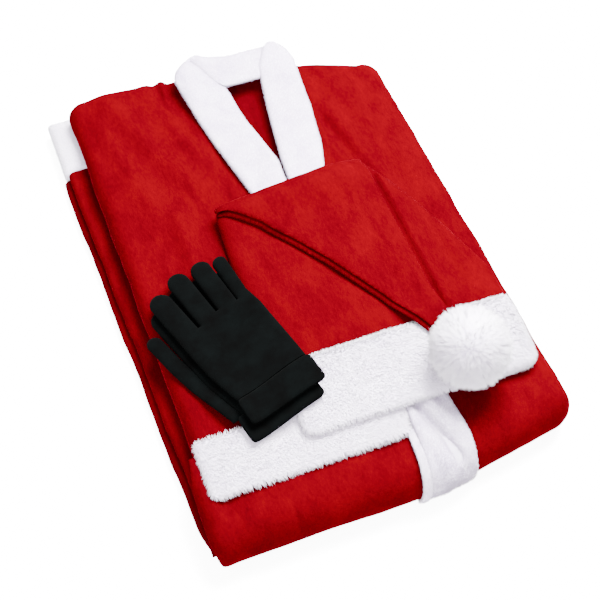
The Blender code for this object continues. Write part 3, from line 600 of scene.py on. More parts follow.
def surface_points(piece, density, rng, keep):
    """Points and normals spread over a piece's faces, density to the square millimetre."""
    mesh = piece.data
    mesh.calc_loop_triangles()
    corners = read_rows(mesh.vertices, "co")
    index = read_rows(mesh.loop_triangles, "vertices", np.int32)
    normals = read_rows(mesh.vertices, "normal")
    a, b, c = (corners[index[:, k]] for k in range(3))
    facing = np.cross(b - a, c - a)
    size = np.linalg.norm(facing, axis=1)
    facing /= np.maximum(size, 1e-12)[:, None]
    weight = size * keep(facing, (a + b + c) / 3.0)
    count = round(weight.sum() / 2.0 * SQUARE_MM * density)
    chosen = index[rng.choice(len(size), count, p=weight / weight.sum())]
    s, t = rng.random((2, count, 1))
    flip = s + t > 1.0
    s, t = np.where(flip, 1.0 - s, s), np.where(flip, 1.0 - t, t)
    points, way = (rows[chosen[:, 0]] * (1 - s - t) + rows[chosen[:, 1]] * s
                   + rows[chosen[:, 2]] * t for rows in (corners, normals))
    return points, unit(way)


def outer_side(facing, places):
    """Share of the pile that grows on each face: none where a band lies on the cloth."""
    return np.where(facing[:, 2] > FACING_DOWN, 1.0, 0.0)


def every_side(facing, places):
    """Share of the pile that grows on each face of a ball: all of it."""
    return np.ones(len(facing))


def tuft_mesh(name, verts, lit):
    """A mesh of three-sided tufts, each given by three corners of its root and its tip."""
    count = len(verts)
    first = np.arange(count)[:, None] * 4
    faces = np.concatenate([first + np.array(tri) for tri in ((0, 1, 3), (1, 2, 3), (2, 0, 3))],
                           axis=1).reshape(-1)
    mesh = bpy.data.meshes.new(name)
    mesh.vertices.add(count * 4)
    mesh.vertices.foreach_set("co", verts.reshape(-1))
    mesh.loops.add(len(faces))
    mesh.loops.foreach_set("vertex_index", faces)
    mesh.polygons.add(count * 3)
    mesh.polygons.foreach_set("loop_start", np.arange(0, len(faces), 3))
    mesh.update(calc_edges=True)
    mesh.polygons.foreach_set("use_smooth", np.ones(count * 3, bool))
    # the tufts' height, 0 at the root and 1 at the tip, sets where the root shade is painted
    height = mesh.attributes.new("height", "FLOAT", "POINT")
    height.data.foreach_set("value", np.tile([0.0, 0.0, 0.0, 1.0], count))
    mesh.normals_split_custom_set_from_vertices(lit.reshape(-1, 3))
    return mesh


def pile(backing, density, length, width, comb, lean_share, seed, keep=outer_side, clump_size=6.0,
         clump_pull=0.3, edge_growth=0.0, relief=0.16, kind="pile"):
    """Soft pile on a backing: three-sided tapered tufts, drawn together in clumps."""
    rng = np.random.default_rng(seed)
    roots, normals = surface_points(backing, density, rng, keep)
    count = len(roots)
    clumps = int(count / clump_size)
    tree = KDTree(clumps)
    for k, centre in enumerate(roots[rng.choice(count, clumps, replace=False)]):
        tree.insert(centre, k)
    tree.balance()
    clump = np.array([tree.find(root)[1] for root in roots])

    comb = np.asarray(comb, float)
    flat = comb - normals * (normals @ comb)[:, None]
    flat /= np.maximum(np.linalg.norm(flat, axis=1), COMB_LEAST)[:, None]
    swirl = rng.normal(0.0, CLUMP_SWIRL, (clumps, 3))[clump]
    swirl = swirl + rng.normal(0.0, TUFT_SWIRL, (count, 3))
    way = unit(normals * (1.0 - lean_share) + flat * lean_share + swirl * SWIRL_SHARE)
    tall = length * rng.uniform(*TUFT_LENGTHS, (count, 1))
    tall *= rng.uniform(*CLUMP_LENGTHS, (clumps, 1))[clump]
    tall *= 1.0 + edge_growth * np.clip(normals @ (comb / np.linalg.norm(comb)), 0.0, 1.0)[:, None]
    tips = roots + way * tall
    gathered = np.zeros((clumps, 3))
    np.add.at(gathered, clump, tips)
    gathered /= np.maximum(np.bincount(clump, minlength=clumps), 1)[:, None]
    tips = tips + (gathered[clump] - tips) * (clump_pull * rng.uniform(*TUFT_PULLS, (count, 1)))

    axis = unit(tips - roots)
    across = unit(np.cross(axis, rng.normal(0.0, 1.0, (count, 3))))
    other = np.cross(axis, across)
    verts, lit = np.empty((2, count, 4, 3))
    for k in range(3):
        angle = math.radians(120.0 * k)
        ring = across * math.cos(angle) + other * math.sin(angle)
        verts[:, k] = roots - normals * ROOT_DEPTH + ring * (width / 2.0)
        lit[:, k] = normals + ring * relief
    verts[:, 3] = tips
    lit[:, 3] = normals * (1.0 - TIP_SHADE) + axis * TIP_SHADE
    name = backing.name.rsplit("_", 1)[0] + "_pile"
    add_piece(name, tuft_mesh(name, verts, unit(lit)), kind)


# ---------------------------------------------------------------- coat
FINE, COARSE = 0.0034, 0.008                # spacing of the cloth's mesh, seen and hidden
RIM = 0.0024                # how far a cut edge of cloth is rounded
DEEPEST = 0.0016            # a crease sinks no further into the layers under it
BACK_LEFT, BACK_PAST, BACK_SHORT = -0.203, 0.008, 0.006     # the back panel's edges
SKIRT_LEFT, SKIRT_ROLL = -0.2085, 0.011     # the skirt's left edge, and its turn's radius
# the skirt is drawn in round the bottom fold and up towards the hem band, at its left only
SKIRT_IN_LOW, SKIRT_LOW = 0.012, (BOTTOM_TURN, -0.060)
SKIRT_IN_HIGH, SKIRT_HIGH = 0.013, (-0.262, 0.070)
SKIRT_SIDE = (-0.150, -0.058)
NECK_START, NECK_END = 0.130, 0.318         # the lining seen in the neck opening
NECK_SIDE = 0.0030          # it stops this far from the opening's sides
NECK_RISE, NECK_FAR = 0.0030, (0.28, 0.04)  # and rises towards the collar
NECK_STEP, NECK_EDGE, NECK_RIM = 0.05, 0.03, 0.02           # of its mesh, across its width of 1
WELD, LONG_EDGE = 0.00002, 0.030            # the hidden layers' points join, and edges divide


def wall(name, columns, rows, table, edge, seed, wrap_left=True, roll=0.0):
    """A velvet panel over the folded layers, with its creases; roll turns its left edge down."""
    rest = CORE_GAP + CLOTH / 2.0
    quarter_turn = math.pi / 2.0

    def surface(u, v):
        s, t = edge(u, v)
        turn = 0.0
        if roll and s < columns[0] + roll * quarter_turn:
            turn = quarter_turn - (s - columns[0]) / roll
            s = columns[0] + roll * (quarter_turn - math.sin(turn))
        point, normal = skin(s, t, wrap_left)
        point -= normal * (roll * (1.0 - math.cos(turn)))
        normal = normal * math.cos(turn) - Vector((math.sin(turn), 0.0, 0.0))
        height = rest + creases(table, s, lean(s, t))
        height += ripple(s, t, 0.055, 0.0016, seed) + ripple(s, t, 0.020, 0.0006, seed + 4.0)
        return point + normal * max(height, rest - DEEPEST), normal

    mesh_data = laid_grid(columns, rows, cloth_side(surface, columns, rows, CLOTH, RIM))
    piece = finish_piece(name + "_cloth", mesh_data, "velvet", name)


def neck_edge(turn_line, seam, opening):
    """Edge function that draws a front's seam out to its side of the neck opening."""
    def edge(u, v):
        share = clamp((u - turn_line) / (seam - turn_line))
        return u + share * (along(opening, v) - seam), v
    return edge


def build_fronts():
    """Both fronts of the coat, turned round the bundle's folds."""
    top = TOP_TURN + FLAT_FOLD * TOP_REACH
    left_seam, right_seam = CENTRE_SEAM - SEAM_GAP, CENTRE_SEAM + SEAM_GAP
    wall("coat_front_left",
         stations(LEFT_TURN - FLAT_FOLD * LEFT_REACH, left_seam, FINE, RIM),
         stations(HEM_LINE + SEAM_GAP, top, FINE, RIM),
         LEFT_CREASES, neck_edge(LEFT_TURN, left_seam, LEFT_NECK), seed=1.7)
    wall("coat_front_right",
         stations(right_seam, RIGHT_TURN + DEEP_FOLD * RIGHT_REACH, FINE, RIM),
         stations(BOTTOM_TURN - DEEP_FOLD * BOTTOM_REACH, top, FINE, RIM),
         RIGHT_CREASES, neck_edge(RIGHT_TURN, right_seam, RIGHT_NECK), seed=3.1)


def build_skirt():
    """The longer skirt layer of the left front, wrapped round the bottom fold."""
    def skirt_edge(u, v):
        inward = SKIRT_IN_LOW * past(v, SKIRT_LOW) + SKIRT_IN_HIGH * past(v, SKIRT_HIGH)
        return u + inward * past(u, SKIRT_SIDE), v

    wall("coat_skirt_left",
         stations(SKIRT_LEFT, CENTRE_SEAM - SEAM_GAP, FINE, RIM),
         stations(BOTTOM_TURN - DEEP_FOLD * BOTTOM_REACH, HEM_LINE, FINE, RIM),
         SKIRT_CREASES, skirt_edge, seed=5.3, wrap_left=False,
         roll=SKIRT_ROLL)


def build_inside():
    """The back panel under the bundle, and the lining seen inside the neck."""
    columns = stations(BACK_LEFT, RIGHT_TURN + BACK_PAST, COARSE, RIM)
    rows = stations(BOTTOM_TURN - BACK_SHORT, TOP_TURN - BACK_SHORT, COARSE, RIM)

    def underside(u, v):
        return Vector((u, lean(u, v), CLOTH / 2.0)), Vector((0.0, 0.0, 1.0))

    mesh_data = laid_grid(columns, rows, cloth_side(underside, columns, rows, CLOTH, RIM))
    piece = finish_piece("coat_back_cloth", mesh_data, "velvet", "coat_back")

    columns = stations(0.0, 1.0, NECK_STEP, NECK_EDGE)
    rows = stations(NECK_START, NECK_END, FINE, RIM)
    floor = NECK_FLOOR + CORE_GAP + CLOTH / 2.0

    def neck(s, y):
        x = mix(along(LEFT_NECK, y) + NECK_SIDE, along(RIGHT_NECK, y) - NECK_SIDE, s)
        height = floor + NECK_RISE * past(y, NECK_FAR) + ripple(x, y, 0.020, 0.0014, 8.0)
        return Vector((x, y, height)), Vector((0.0, 0.0, 1.0))

    mesh_data = laid_grid(columns, rows, cloth_side(neck, columns, rows, CLOTH, NECK_RIM))
    piece = finish_piece("coat_back_neck_cloth", mesh_data, "velvet_reverse", "coat_back_neck")


def build_layers():
    """The hidden folded layers, in the solid's own form, with its long edges divided."""
    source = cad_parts["folded_core"]
    mesh_data = bmesh.new()
    mesh_data.from_mesh(source.data)
    bmesh.ops.remove_doubles(mesh_data, verts=mesh_data.verts, dist=WELD)
    bmesh.ops.translate(mesh_data, verts=mesh_data.verts, vec=ORIGIN)
    long_edges = [edge for edge in mesh_data.edges if edge.calc_length() > LONG_EDGE]
    bmesh.ops.subdivide_edges(mesh_data, edges=long_edges, cuts=3, use_grid_fill=True)
    finish_piece("folded_layers", mesh_data, "velvet_reverse", "folded_core", smooth_angle=30.0)


# ---------------------------------------------------------------- plush trims
BAND_WIDTH = 0.05           # a usual width, from which the columns of a band's mesh are spaced
COLUMN_SHARE = 0.9          # columns stand this much closer than rows
CORNER = 1.4                # a band's corners are rounded by this many widths of its edge
BAND_RIM = 0.2              # share of a band's thickness left at its rim
COLLAR_FAR = (0.250, 0.105)                 # where the collar rises
BACK_START, BACK_END = 0.304, 0.3615
PULL_NEAR, PULL_FAR, PULL_RUN = 0.0035, 0.0150, 0.058       # how far the back band is drawn down
PULL_SIDE = (-0.020, 0.050)
THICKER, THICKER_FAR = 0.0030, (0.270, 0.050)               # the right band grows to its end
THINNER, THINNER_LOW = 0.0040, (-0.255, -0.030)             # the front band thins round the fold
BAND_REACH = math.radians(128.0)            # how far it goes round the bottom fold


def pad(name, left, right, start, end, floor, thick, inset, step=0.004, edge=0.006,
        bend=False, table=(), far_share=1.0, pull=None):
    """Backing of a plush band between two side tables of (y, x), inset for its pile."""
    length = abs(end - start)
    columns = stations(0.0, 1.0, step / BAND_WIDTH * COLUMN_SHARE, edge / BAND_WIDTH)
    rows = stations(0.0, 1.0, step / length, edge / length)
    if bend:
        left = [(unlean(x, y), x) for y, x in left]
        right = [(unlean(x, y), x) for y, x in right]
    corner = edge * CORNER
    low_end, high_end = start + inset, end - inset * far_share

    def side(s, t, way):
        v = mix(low_end, high_end, t)
        low, high = along(left, v) + inset, along(right, v) - inset
        wide = high - low
        a, b = (0.5 - abs(s - 0.5)) * wide, (0.5 - abs(t - 0.5)) * length
        if a < corner and b < corner:
            x, y = 1.0 - a / corner, 1.0 - b / corner
            a = corner * (1.0 - x * math.sqrt(1.0 - y * y / 2.0))
            b = corner * (1.0 - y * math.sqrt(1.0 - x * x / 2.0))
            s = a / wide if s < 0.5 else 1.0 - a / wide
            t = b / length if t < 0.5 else 1.0 - b / length
            v = mix(low_end, high_end, t)
        u = mix(low, high, s)
        base = floor(u, v) if callable(floor) else floor
        depth = (thick(u, v) if callable(thick) else thick) - inset
        round_off = BAND_RIM + (1.0 - BAND_RIM) * quarter(min(a, b), edge)
        lift = base + depth / 2.0 + way * depth / 2.0 * round_off
        if way > 0.0:
            lift += creases(table, u, v) + ripple(u, v, 0.022, 0.0010, start * 50.0)
        if bend:
            point, normal = skin(u, v)
            return point + normal * lift
        return Vector((u, v + (pull(u, v) if pull else 0.0), top_height(u, v) + lift))

    mesh_data = laid_grid(columns, rows, side)
    return finish_piece(name + "_plush", mesh_data, "plush", name)


def collar_floor(x, y):
    """Lift of what the collar lies on, with its stand at the back neck."""
    return BAND_LIFT + COLLAR_RISE * past(y, COLLAR_FAR)


def collar_pull(x, y):
    """How far the back band is drawn down towards the neck, most at its middle and right."""
    return -past(x, PULL_SIDE) * mix(PULL_NEAR, PULL_FAR, clamp((y - BACK_START) / PULL_RUN))


def build_collar(settings):
    """Three plush bands round the neck."""
    left = pad("collar_left",
               ((0.104, -0.0140), (0.210, -0.0330), (0.275, -0.0420), (0.328, -0.0500),
                (0.342, -0.0440), (0.363, -0.0200)),
               ((0.104, 0.0290), (0.163, 0.0335), (0.237, 0.0190), (0.301, 0.0120),
                (0.340, 0.0060), (0.363, -0.0040)),
               0.104, 0.363, collar_floor, PLUSH, 0.0014, edge=0.007, table=COLLAR_CREASES)
    right = pad("collar_right",
                ((0.104, 0.0310), (0.163, 0.0360), (0.241, 0.0480), (0.316, 0.0610),
                 (0.350, 0.0800)),
                ((0.104, 0.0745), (0.171, 0.0940), (0.237, 0.1050), (0.314, 0.1110),
                 (0.332, 0.1060), (0.350, 0.0960)),
                0.104, 0.350, collar_floor,
                lambda x, y: PLUSH + THICKER * past(y, THICKER_FAR), 0.0014, edge=0.007)
    back = pad("collar_back", ((0.300, 0.0060), (0.365, -0.0240)),
               ((0.296, 0.0640), (0.360, 0.0860)),
               BACK_START, BACK_END, collar_floor, PLUSH - 0.0024, 0.0002, edge=0.007,
               pull=collar_pull)
    for piece, comb, seed in ((left, (0.35, 0.9, 0.0), 11), (right, (0.5, 0.85, 0.0), 12),
                              (back, (0.2, 1.0, 0.0), 13)):
        pile(piece, settings.density, settings.short_pile, 0.9 * TUFT, comb, 0.34, seed,
             clump_pull=0.2, relief=0.10, kind="trim_pile")


def build_bands(settings):
    """The hem band of the left front, the centre-front band and the strip under it."""
    hem = pad("hem_band_left", ((-0.260, -0.1910), (-0.180, -0.1905)),
              ((-0.260, 0.0315), (-0.220, 0.0410), (-0.180, 0.0405)),
              -0.2465, -0.178, ON_COAT, PLUSH, 0.0028, far_share=-0.4)
    round_end = BOTTOM_TURN - DEEP_FOLD * BAND_REACH
    front = pad("front_band",
                ((-0.335, 0.0290), (-0.271, 0.0350), (-0.240, 0.0365), (-0.216, 0.0385),
                 (-0.190, 0.0395)),
                ((-0.335, 0.0860), (-0.265, 0.0930), (-0.216, 0.0890), (-0.190, 0.0880)),
                round_end, -0.194, BAND_LIFT,
                lambda u, v: PLUSH - 0.0010 - THINNER * past(v, THINNER_LOW),
                0.0014, bend=True, step=0.002, table=FRONT_CREASES)
    under = pad("front_band_under", ((-0.335, 0.0205), (-0.271, 0.0270), (-0.240, 0.0290)),
                ((-0.335, 0.0310), (-0.271, 0.0370), (-0.240, 0.0390)),
                round_end, -0.2405, BAND_LIFT, 0.0050, 0.0004, bend=True, edge=0.003)
    pile(hem, settings.density, settings.long_pile, TUFT, (0.05, -1.0, 0.0), 0.50, 21,
         edge_growth=0.25, clump_size=4.0, clump_pull=0.2, relief=0.10)
    pile(front, settings.density, settings.short_pile, TUFT, (-0.2, 0.8, 0.3), 0.32, 22,
         clump_pull=0.2, relief=0.10, kind="trim_pile")
    pile(under, settings.density, settings.short_pile * 0.6, TUFT, (0.0, -1.0, -0.3), 0.5, 23,
         kind="trim_pile")


# ---------------------------------------------------------------- trousers
# each folded layer of the leg: underside, top, reach past the left turn, lower end
LEG_LAYERS = {
    "trouser_leg_upper": (0.0162, 0.0298, 0.0385, -0.284),
    "trouser_leg_lower": (0.0028, 0.0159, 0.0465, -0.277),
}
LEG_INNER = 0.0105          # the layers end this far past the left turn, under the coat
LEG_FLAT = 0.017            # cloth on either side of a layer's fold
LEG_STEP, LEG_RIM, LEG_END = 0.0022, 0.0010, 0.0015         # columns' step, rounded edges
# each cuff: left side, right side, start and end beyond the cuff line
CUFFS = {
    "trouser_cuff_left": (-0.2185, -0.012, 0.0010, 0.366),
    "trouser_cuff_right": (-0.006, 0.187, 0.0040, 0.388),
}
CUFF_STEP, CUFF_INSET = 0.005, 0.0020       # mesh spacing, and room left for the pile
CUFF_REST, CUFF_RIM = 0.0028, 0.35          # height over the table, share left at a rim
# faces of a cuff that the coat leaves bare: towards the left, the collar, the left side
LEFT_FACING, FAR_FACING, BARE_SIDE = -0.4, 0.3, LEFT_TURN + 0.004
HIDDEN_SHARE = 0.12         # pile where the coat covers a cuff


def leg_taper(y):
    return LEG_TAPER * clamp((TAPER_LINE - y) / TAPER_RUN)


def cuff_side(facing, places):
    """Pile on a trouser cuff: full where the coat leaves it bare, thin where it is hidden."""
    bare = (facing[:, 0] < LEFT_FACING) | (facing[:, 1] > FAR_FACING)
    return np.where(bare | (places[:, 0] < BARE_SIDE), 1.0, HIDDEN_SHARE)


def build_leg(name, low, high, out, end):
    """One layer of the trouser leg, folded over at the bundle's left side."""
    inner = LEFT_TURN - LEG_INNER
    radius = (high - low) / 2.0
    turn = radius * math.pi / 2.0
    columns = stations(-LEG_FLAT - turn, LEG_FLAT + turn, LEG_STEP, LEG_RIM)
    rows = stations(end, CUFF_LINE - SEAM_GAP, FINE, RIM)

    def surface(s, y):
        reach = out + LEG_WAVE * (1.0 + math.sin(LEG_WAVES * y)) - leg_taper(y)
        reach -= LEG_ROUND * clamp((LEG_BEND - y) / LEG_ROUND_RUN) ** 2
        size = radius - CLOTH / 2.0
        edge_x = LEFT_TURN - (reach - radius)
        height = creases(LEG_CREASES, edge_x - size, y) if s > 0.0 else 0.0
        size += ripple(edge_x, y, 0.030, 0.0012, radius * 900.0)
        if abs(s) <= turn:
            angle = s / radius
            normal = Vector((-math.cos(angle), 0.0, math.sin(angle)))
            point = Vector((edge_x, y, low + radius)) + normal * size
        else:
            share = (abs(s) - turn) / LEG_FLAT
            normal = Vector((0.0, 0.0, math.copysign(1.0, s)))
            point = Vector((mix(edge_x, inner, share), y, low + radius)) + normal * size
        return point + Vector((0.0, 0.0, height * 0.5)), normal

    mesh_data = laid_grid(columns, rows, cloth_side(surface, columns, rows, CLOTH, LEG_END))
    piece = finish_piece(name + "_cloth", mesh_data, "velvet", name)


def cuff_backing(name, left, right, start, end):
    """Backing of a plush trouser cuff, folded flat behind the collar."""
    width, length = right - left, end - CUFF_LINE - start
    columns = stations(0.0, 1.0, CUFF_STEP / width, CUFF_EDGE / width)
    rows = stations(0.0, 1.0, CUFF_STEP / length, CUFF_EDGE / length)

    def side(s, t, way):
        inner = min((0.5 - abs(s - 0.5)) * width, (0.5 - abs(t - 0.5)) * length)
        x = mix(left + CUFF_INSET, right - CUFF_INSET, s)
        v = mix(CUFF_LINE + start + CUFF_INSET * 0.4, CUFF_LINE + start + length - CUFF_INSET, t)
        y = lean(x, min(v, TOP_TURN)) + max(0.0, v - TOP_TURN)
        round_off = CUFF_RIM + (1.0 - CUFF_RIM) * quarter(inner, CUFF_EDGE)
        half = (CUFF_HALF - CUFF_INSET * 0.6) * round_off
        half += ripple(x, y, 0.025, 0.0009, 2.0) if way > 0.0 else 0.0
        return Vector((x, y, CUFF_HALF + CUFF_REST + way * half))

    return finish_piece(name + "_plush", laid_grid(columns, rows, side), "plush", name)


def build_trousers(settings):
    """The trouser leg's two folded layers at the left side, and both plush cuffs."""
    for name, layer in LEG_LAYERS.items():
        build_leg(name, *layer)
    for seed, (name, box) in enumerate(CUFFS.items(), 31):
        pile(cuff_backing(name, *box), settings.density, settings.short_pile, TUFT,
             (-1.0, 0.4, -0.3), 0.35, seed, keep=cuff_side)


# ---------------------------------------------------------------- hat
TAIL_ROLL = 0.0070          # radius of the roll where the tail turns over the crown
TAIL_FOLD = ((0.1240, 0.1250), (-0.0630, 0.1060))
# cuts of the crown's top layer and of the tail's two layers, counter-clockwise
CROWN_CUT = HAT_OUTLINE[:4] + ((0.1665, 0.0450), (0.1525, 0.0800), (0.1315, 0.1190),
                               (-0.0705, 0.1000), (-0.0758, 0.0200))
TAIL_RIGHT = ((0.1190, -0.1600), (0.1262, -0.1300), (0.1240, -0.0800), (0.1242, 0.0500),
              (0.1255, 0.1080))
TAIL_UPPER_CUT = (((0.1040, -0.1640),) + TAIL_RIGHT + TAIL_FOLD[:1]
                  + ((-0.0540, 0.1078), (-0.0650, 0.1063), (-0.0705, 0.1018), (-0.0695, 0.0960),
                     (-0.0560, 0.0888), (-0.0245, 0.0632), (0.0051, 0.0239), (0.0308, -0.0147),
                     (0.0676, -0.0786), (0.1000, -0.1445)))
TAIL_UNDER_CUT = ((0.0985, -0.1680), (0.1150, -0.1640), (0.1215, -0.1300), (0.1205, -0.0500),
                  (0.1212, 0.0500), (0.1220, 0.1190), (-0.0590, 0.1040), (-0.0655, 0.1020),
                  (-0.0700, 0.0978), (-0.0690, 0.0915), (-0.0630, 0.0890), (-0.0277, 0.0612),
                  (0.0012, 0.0211), (0.0271, -0.0173), (0.0638, -0.0812), (0.0960, -0.1471))
# ramps (line, run) within which the collar and the lower bands carry the hat
COLLAR_NEAR, COLLAR_LEFT, COLLAR_RIGHT = (0.045, 0.055), (-0.098, 0.045), (0.130, -0.050)
BANDS_NEAR, BANDS_RIGHT = (-0.148, -0.024), (0.118, -0.020)
BRIM_NEAR = (-0.090, -0.038)                # and over which the crown passes into the brim
TAIL_SHUT, TAIL_LEFT = (0.0, 0.010), (-0.070, 0.022)        # the tail lies shut before these
TAIL_CLEAR = 0.0012         # its under layer's top stays this much lower
END_DROP, END_LEFT, END_ROUND = 0.0055, -0.0708, 0.0090     # its left end is rounded down
HAT_CELL = 0.0036           # spacing of a hat layer's mesh
HAT_CORNER, TAIL_CORNER = 0.006, 0.003      # rounding of the layers' corners
LAYER_RIM, LAYER_ROUND = 0.15, 0.0026       # share of the thickness left at a rounded cut edge
FALL, FALL_RUN, CREASE_RUN = 0.0012, 0.010, 0.012           # edges droop, creases fade there
RING_WIDTHS = (0.0005, 0.0007, 0.0010)      # rings of faces inside a cut edge
CORNER_STEPS = 4
REACH_SHARE = 0.4           # a rounded corner takes no more than this share of an edge


def fold_distance(x, y):
    """Distance from the line along which the hat's tail is turned over."""
    (x0, y0), (x1, y1) = TAIL_FOLD
    return ((x1 - x0) * (y - y0) - (y1 - y0) * (x - x0)) / math.hypot(x1 - x0, y1 - y0)


def prop(x, y):
    """How much the trims under the hat raise it: 0 on the coat, 1 on a band."""
    collar = past(y, COLLAR_NEAR) * past(x, COLLAR_LEFT) * past(x, COLLAR_RIGHT)
    return max(collar, past(y, BANDS_NEAR) * past(x, BANDS_RIGHT))


def hat_floor(x, y):
    """Lift of what the hat lies on."""
    return mix(ON_COAT, ON_TRIM, prop(x, y))


def crown_under(x, y):
    """Lift of the top of the crown's under layer, which fills out away from its rim."""
    edge = inside(x, y, HAT_OUTLINE, FREE_EDGE)
    return hat_floor(x, y) + CROWN_RIM + HAT_RISE * quarter(edge, HAT_EDGE)


def crown_top(x, y):
    return crown_under(x, y) + SEAM_GAP + CLOTH


def hat_surface(x, y):
    """Lift of what the tail lies on: the crown, passing into the brim."""
    return mix(crown_top(x, y), ON_COAT + BRIM_THICK + TRIM_GAP, past(y, BRIM_NEAR))


def outline_distance(points, outline):
    """Distance of each point to an outline's edges."""
    points = np.asarray(points, float)
    best = np.full(len(points), 1e9)
    for (x0, y0), (x1, y1) in zip(outline, outline[1:] + outline[:1]):
        ex, ey = x1 - x0, y1 - y0
        t = ((points[:, 0] - x0) * ex + (points[:, 1] - y0) * ey) / max(ex * ex + ey * ey, 1e-12)
        t = np.clip(t, 0.0, 1.0)
        best = np.minimum(best, np.hypot(points[:, 0] - x0 - t * ex, points[:, 1] - y0 - t * ey))
    return best


def cut_piece(outline, cell):
    """A flat piece cut to an outline, ringed near its edge and cut into a fine grid."""
    flat = bmesh.new()
    face = flat.faces.new([flat.verts.new((x, y, 0.0)) for x, y in outline])
    if face.normal.z < 0.0:
        bmesh.ops.reverse_faces(flat, faces=[face])
    for thickness in RING_WIDTHS:
        bmesh.ops.inset_region(flat, faces=[max(flat.faces, key=lambda f: f.calc_area())],
                               thickness=thickness, use_even_offset=True)
    for axis in (0, 1):
        low, high = min(p[axis] for p in outline), max(p[axis] for p in outline)
        for cut in stations(low, high, cell)[1:-1]:
            origin, normal = Vector((0.0, 0.0, 0.0)), Vector((0.0, 0.0, 0.0))
            origin[axis], normal[axis] = cut, 1.0
            bmesh.ops.bisect_plane(flat, geom=flat.verts[:] + flat.edges[:] + flat.faces[:],
                                   plane_co=origin, plane_no=normal)
    wide = [f for f in flat.faces if len(f.verts) > 4]
    bmesh.ops.triangulate(flat, faces=wide)
    return flat


def thicken(flat, sides):
    """Close a flat piece; sides maps the list of its (x, y) to low and high 3-D points."""
    upper = doubled(flat)
    order = flat.verts[:]
    places = [(vert.co.x, vert.co.y) for vert in order]
    cloth_map = flat.loops.layers.uv.new("cloth")
    spot = dict(zip(order, places))
    for face in flat.faces:
        for loop in face.loops:
            loop[cloth_map].uv = spot[loop.vert]
    low, high = sides(places)
    for k, vert in enumerate(order):
        vert.co = high[k] if vert in upper else low[k]
    return flat


def rounded_outline(outline, radius):
    """An outline with its corners rounded off."""
    points = []
    count = len(outline)
    for k in range(count):
        before, here, after = (Vector(outline[(k + d) % count]) for d in (-1, 0, 1))
        to_before, to_after = before - here, after - here
        reach = min(radius, to_before.length * REACH_SHARE, to_after.length * REACH_SHARE)
        start, end = here + to_before.normalized() * reach, here + to_after.normalized() * reach
        for i in range(CORNER_STEPS + 1):
            t = i / CORNER_STEPS
            point = start * (1 - t) ** 2 + here * 2 * t * (1 - t) + end * t ** 2
            points.append((point.x, point.y))
    return points


def hat_layer(name, outline, low_lift, high_lift, table, seed, radius=HAT_CORNER):
    """One layer of the hat over its outline, with rounded edges."""
    shape = rounded_outline(outline, radius)

    def sides(places):
        low, high = [], []
        for (x, y), distance in zip(places, outline_distance(places, shape)):
            bottom, top = low_lift(x, y), high_lift(x, y)
            middle, half = (bottom + top) / 2.0, (top - bottom) / 2.0
            half *= max(LAYER_RIM, quarter(distance, LAYER_ROUND))
            rise = creases(table, x, y) + ripple(x, y, 0.045, 0.0014, seed)
            rise += ripple(x, y, 0.016, 0.0004, seed + 3.0)
            rise *= smooth(distance / CREASE_RUN)
            middle -= FALL * (1.0 - smooth(distance / FALL_RUN))
            ground = top_height(x, y)
            low.append(Vector((x, y, ground + middle - half + rise)))
            high.append(Vector((x, y, ground + middle + half + rise)))
        return low, high

    return finish_piece(name + "_cloth", thicken(cut_piece(shape, HAT_CELL), sides), "velvet", name)


def build_hat_cloth():
    """The hat's flat cone: crown in two layers, its tail turned over in two more."""
    piece = hat_layer("hat_crown_under", HAT_OUTLINE, hat_floor, crown_under, (), seed=2.0)
    piece = hat_layer("hat_crown", CROWN_CUT, lambda x, y: crown_under(x, y) + SEAM_GAP,
                      crown_top, HAT_CREASES, seed=2.6)

    def under_low(x, y):
        apart = past(fold_distance(x, y), TAIL_SHUT) * past(x, TAIL_LEFT)
        return hat_surface(x, y) + TAIL_GAP * apart

    def under_high(x, y):
        return under_low(x, y) + TAIL_UNDER - TAIL_CLEAR

    def upper_low(x, y):
        """The tail's cloth comes down as it rolls over the crown's edge, and at its left end."""
        over_fold = TAIL_ROLL * (1.0 - quarter(fold_distance(x, y), TAIL_ROLL))
        ends = END_DROP * (1.0 - quarter(x - END_LEFT, END_ROUND))
        return hat_surface(x, y) + TAIL_GAP + TAIL_UNDER + TAIL_SEAM - max(over_fold, ends)

    piece = hat_layer("hat_tail_under", TAIL_UNDER_CUT, under_low, under_high, TAIL_CREASES,
                      seed=4.0)
    piece = hat_layer("hat_tail", TAIL_UPPER_CUT, upper_low,
                      lambda x, y: upper_low(x, y) + CLOTH, TAIL_CREASES, seed=4.0,
                      radius=TAIL_CORNER)


def build_brim(settings):
    """The hat's plush brim."""
    brim = pad("hat_brim", ((-0.225, -0.0760), (-0.130, -0.0770)),
               ((-0.225, 0.1960), (-0.205, 0.2010), (-0.144, 0.2075), (-0.130, 0.2060)),
               -0.2175, -0.1270, hat_floor,
               lambda x, y: ON_COAT + BRIM_THICK - hat_floor(x, y), 0.0028, edge=0.009,
               far_share=-0.6)
    pile(brim, settings.density, settings.long_pile, TUFT, (0.05, -1.0, 0.0), 0.50, 41,
         edge_growth=0.25, clump_size=4.0, clump_pull=0.2, relief=0.10)


def build_pompom(settings):
    """The pompom: a ball of long radial pile."""
    ball = bmesh.new()
    bmesh.ops.create_icosphere(ball, subdivisions=4, radius=POMPOM_BACKING)
    bmesh.ops.translate(ball, verts=ball.verts, vec=POMPOM_CENTRE)
    piece = finish_piece("hat_pompom_ball", ball, "plush", "hat_pompom")
    pile(piece, settings.pompom_density, POMPOM_REACH - POMPOM_BACKING, 1.2 * TUFT,
         (0.0, 0.0, -1.0), 0.05, 51, keep=every_side, clump_size=22.0, clump_pull=0.7,
         relief=0.45)


# ---------------------------------------------------------------- gloves
FIRST_CLEFT, HALF_CLEFT = 0.150, 0.0007     # where the first finger starts, half a cleft's width
THUMB_TIP, THUMB_RADIUS = (-0.0625, 0.1815), 0.0092
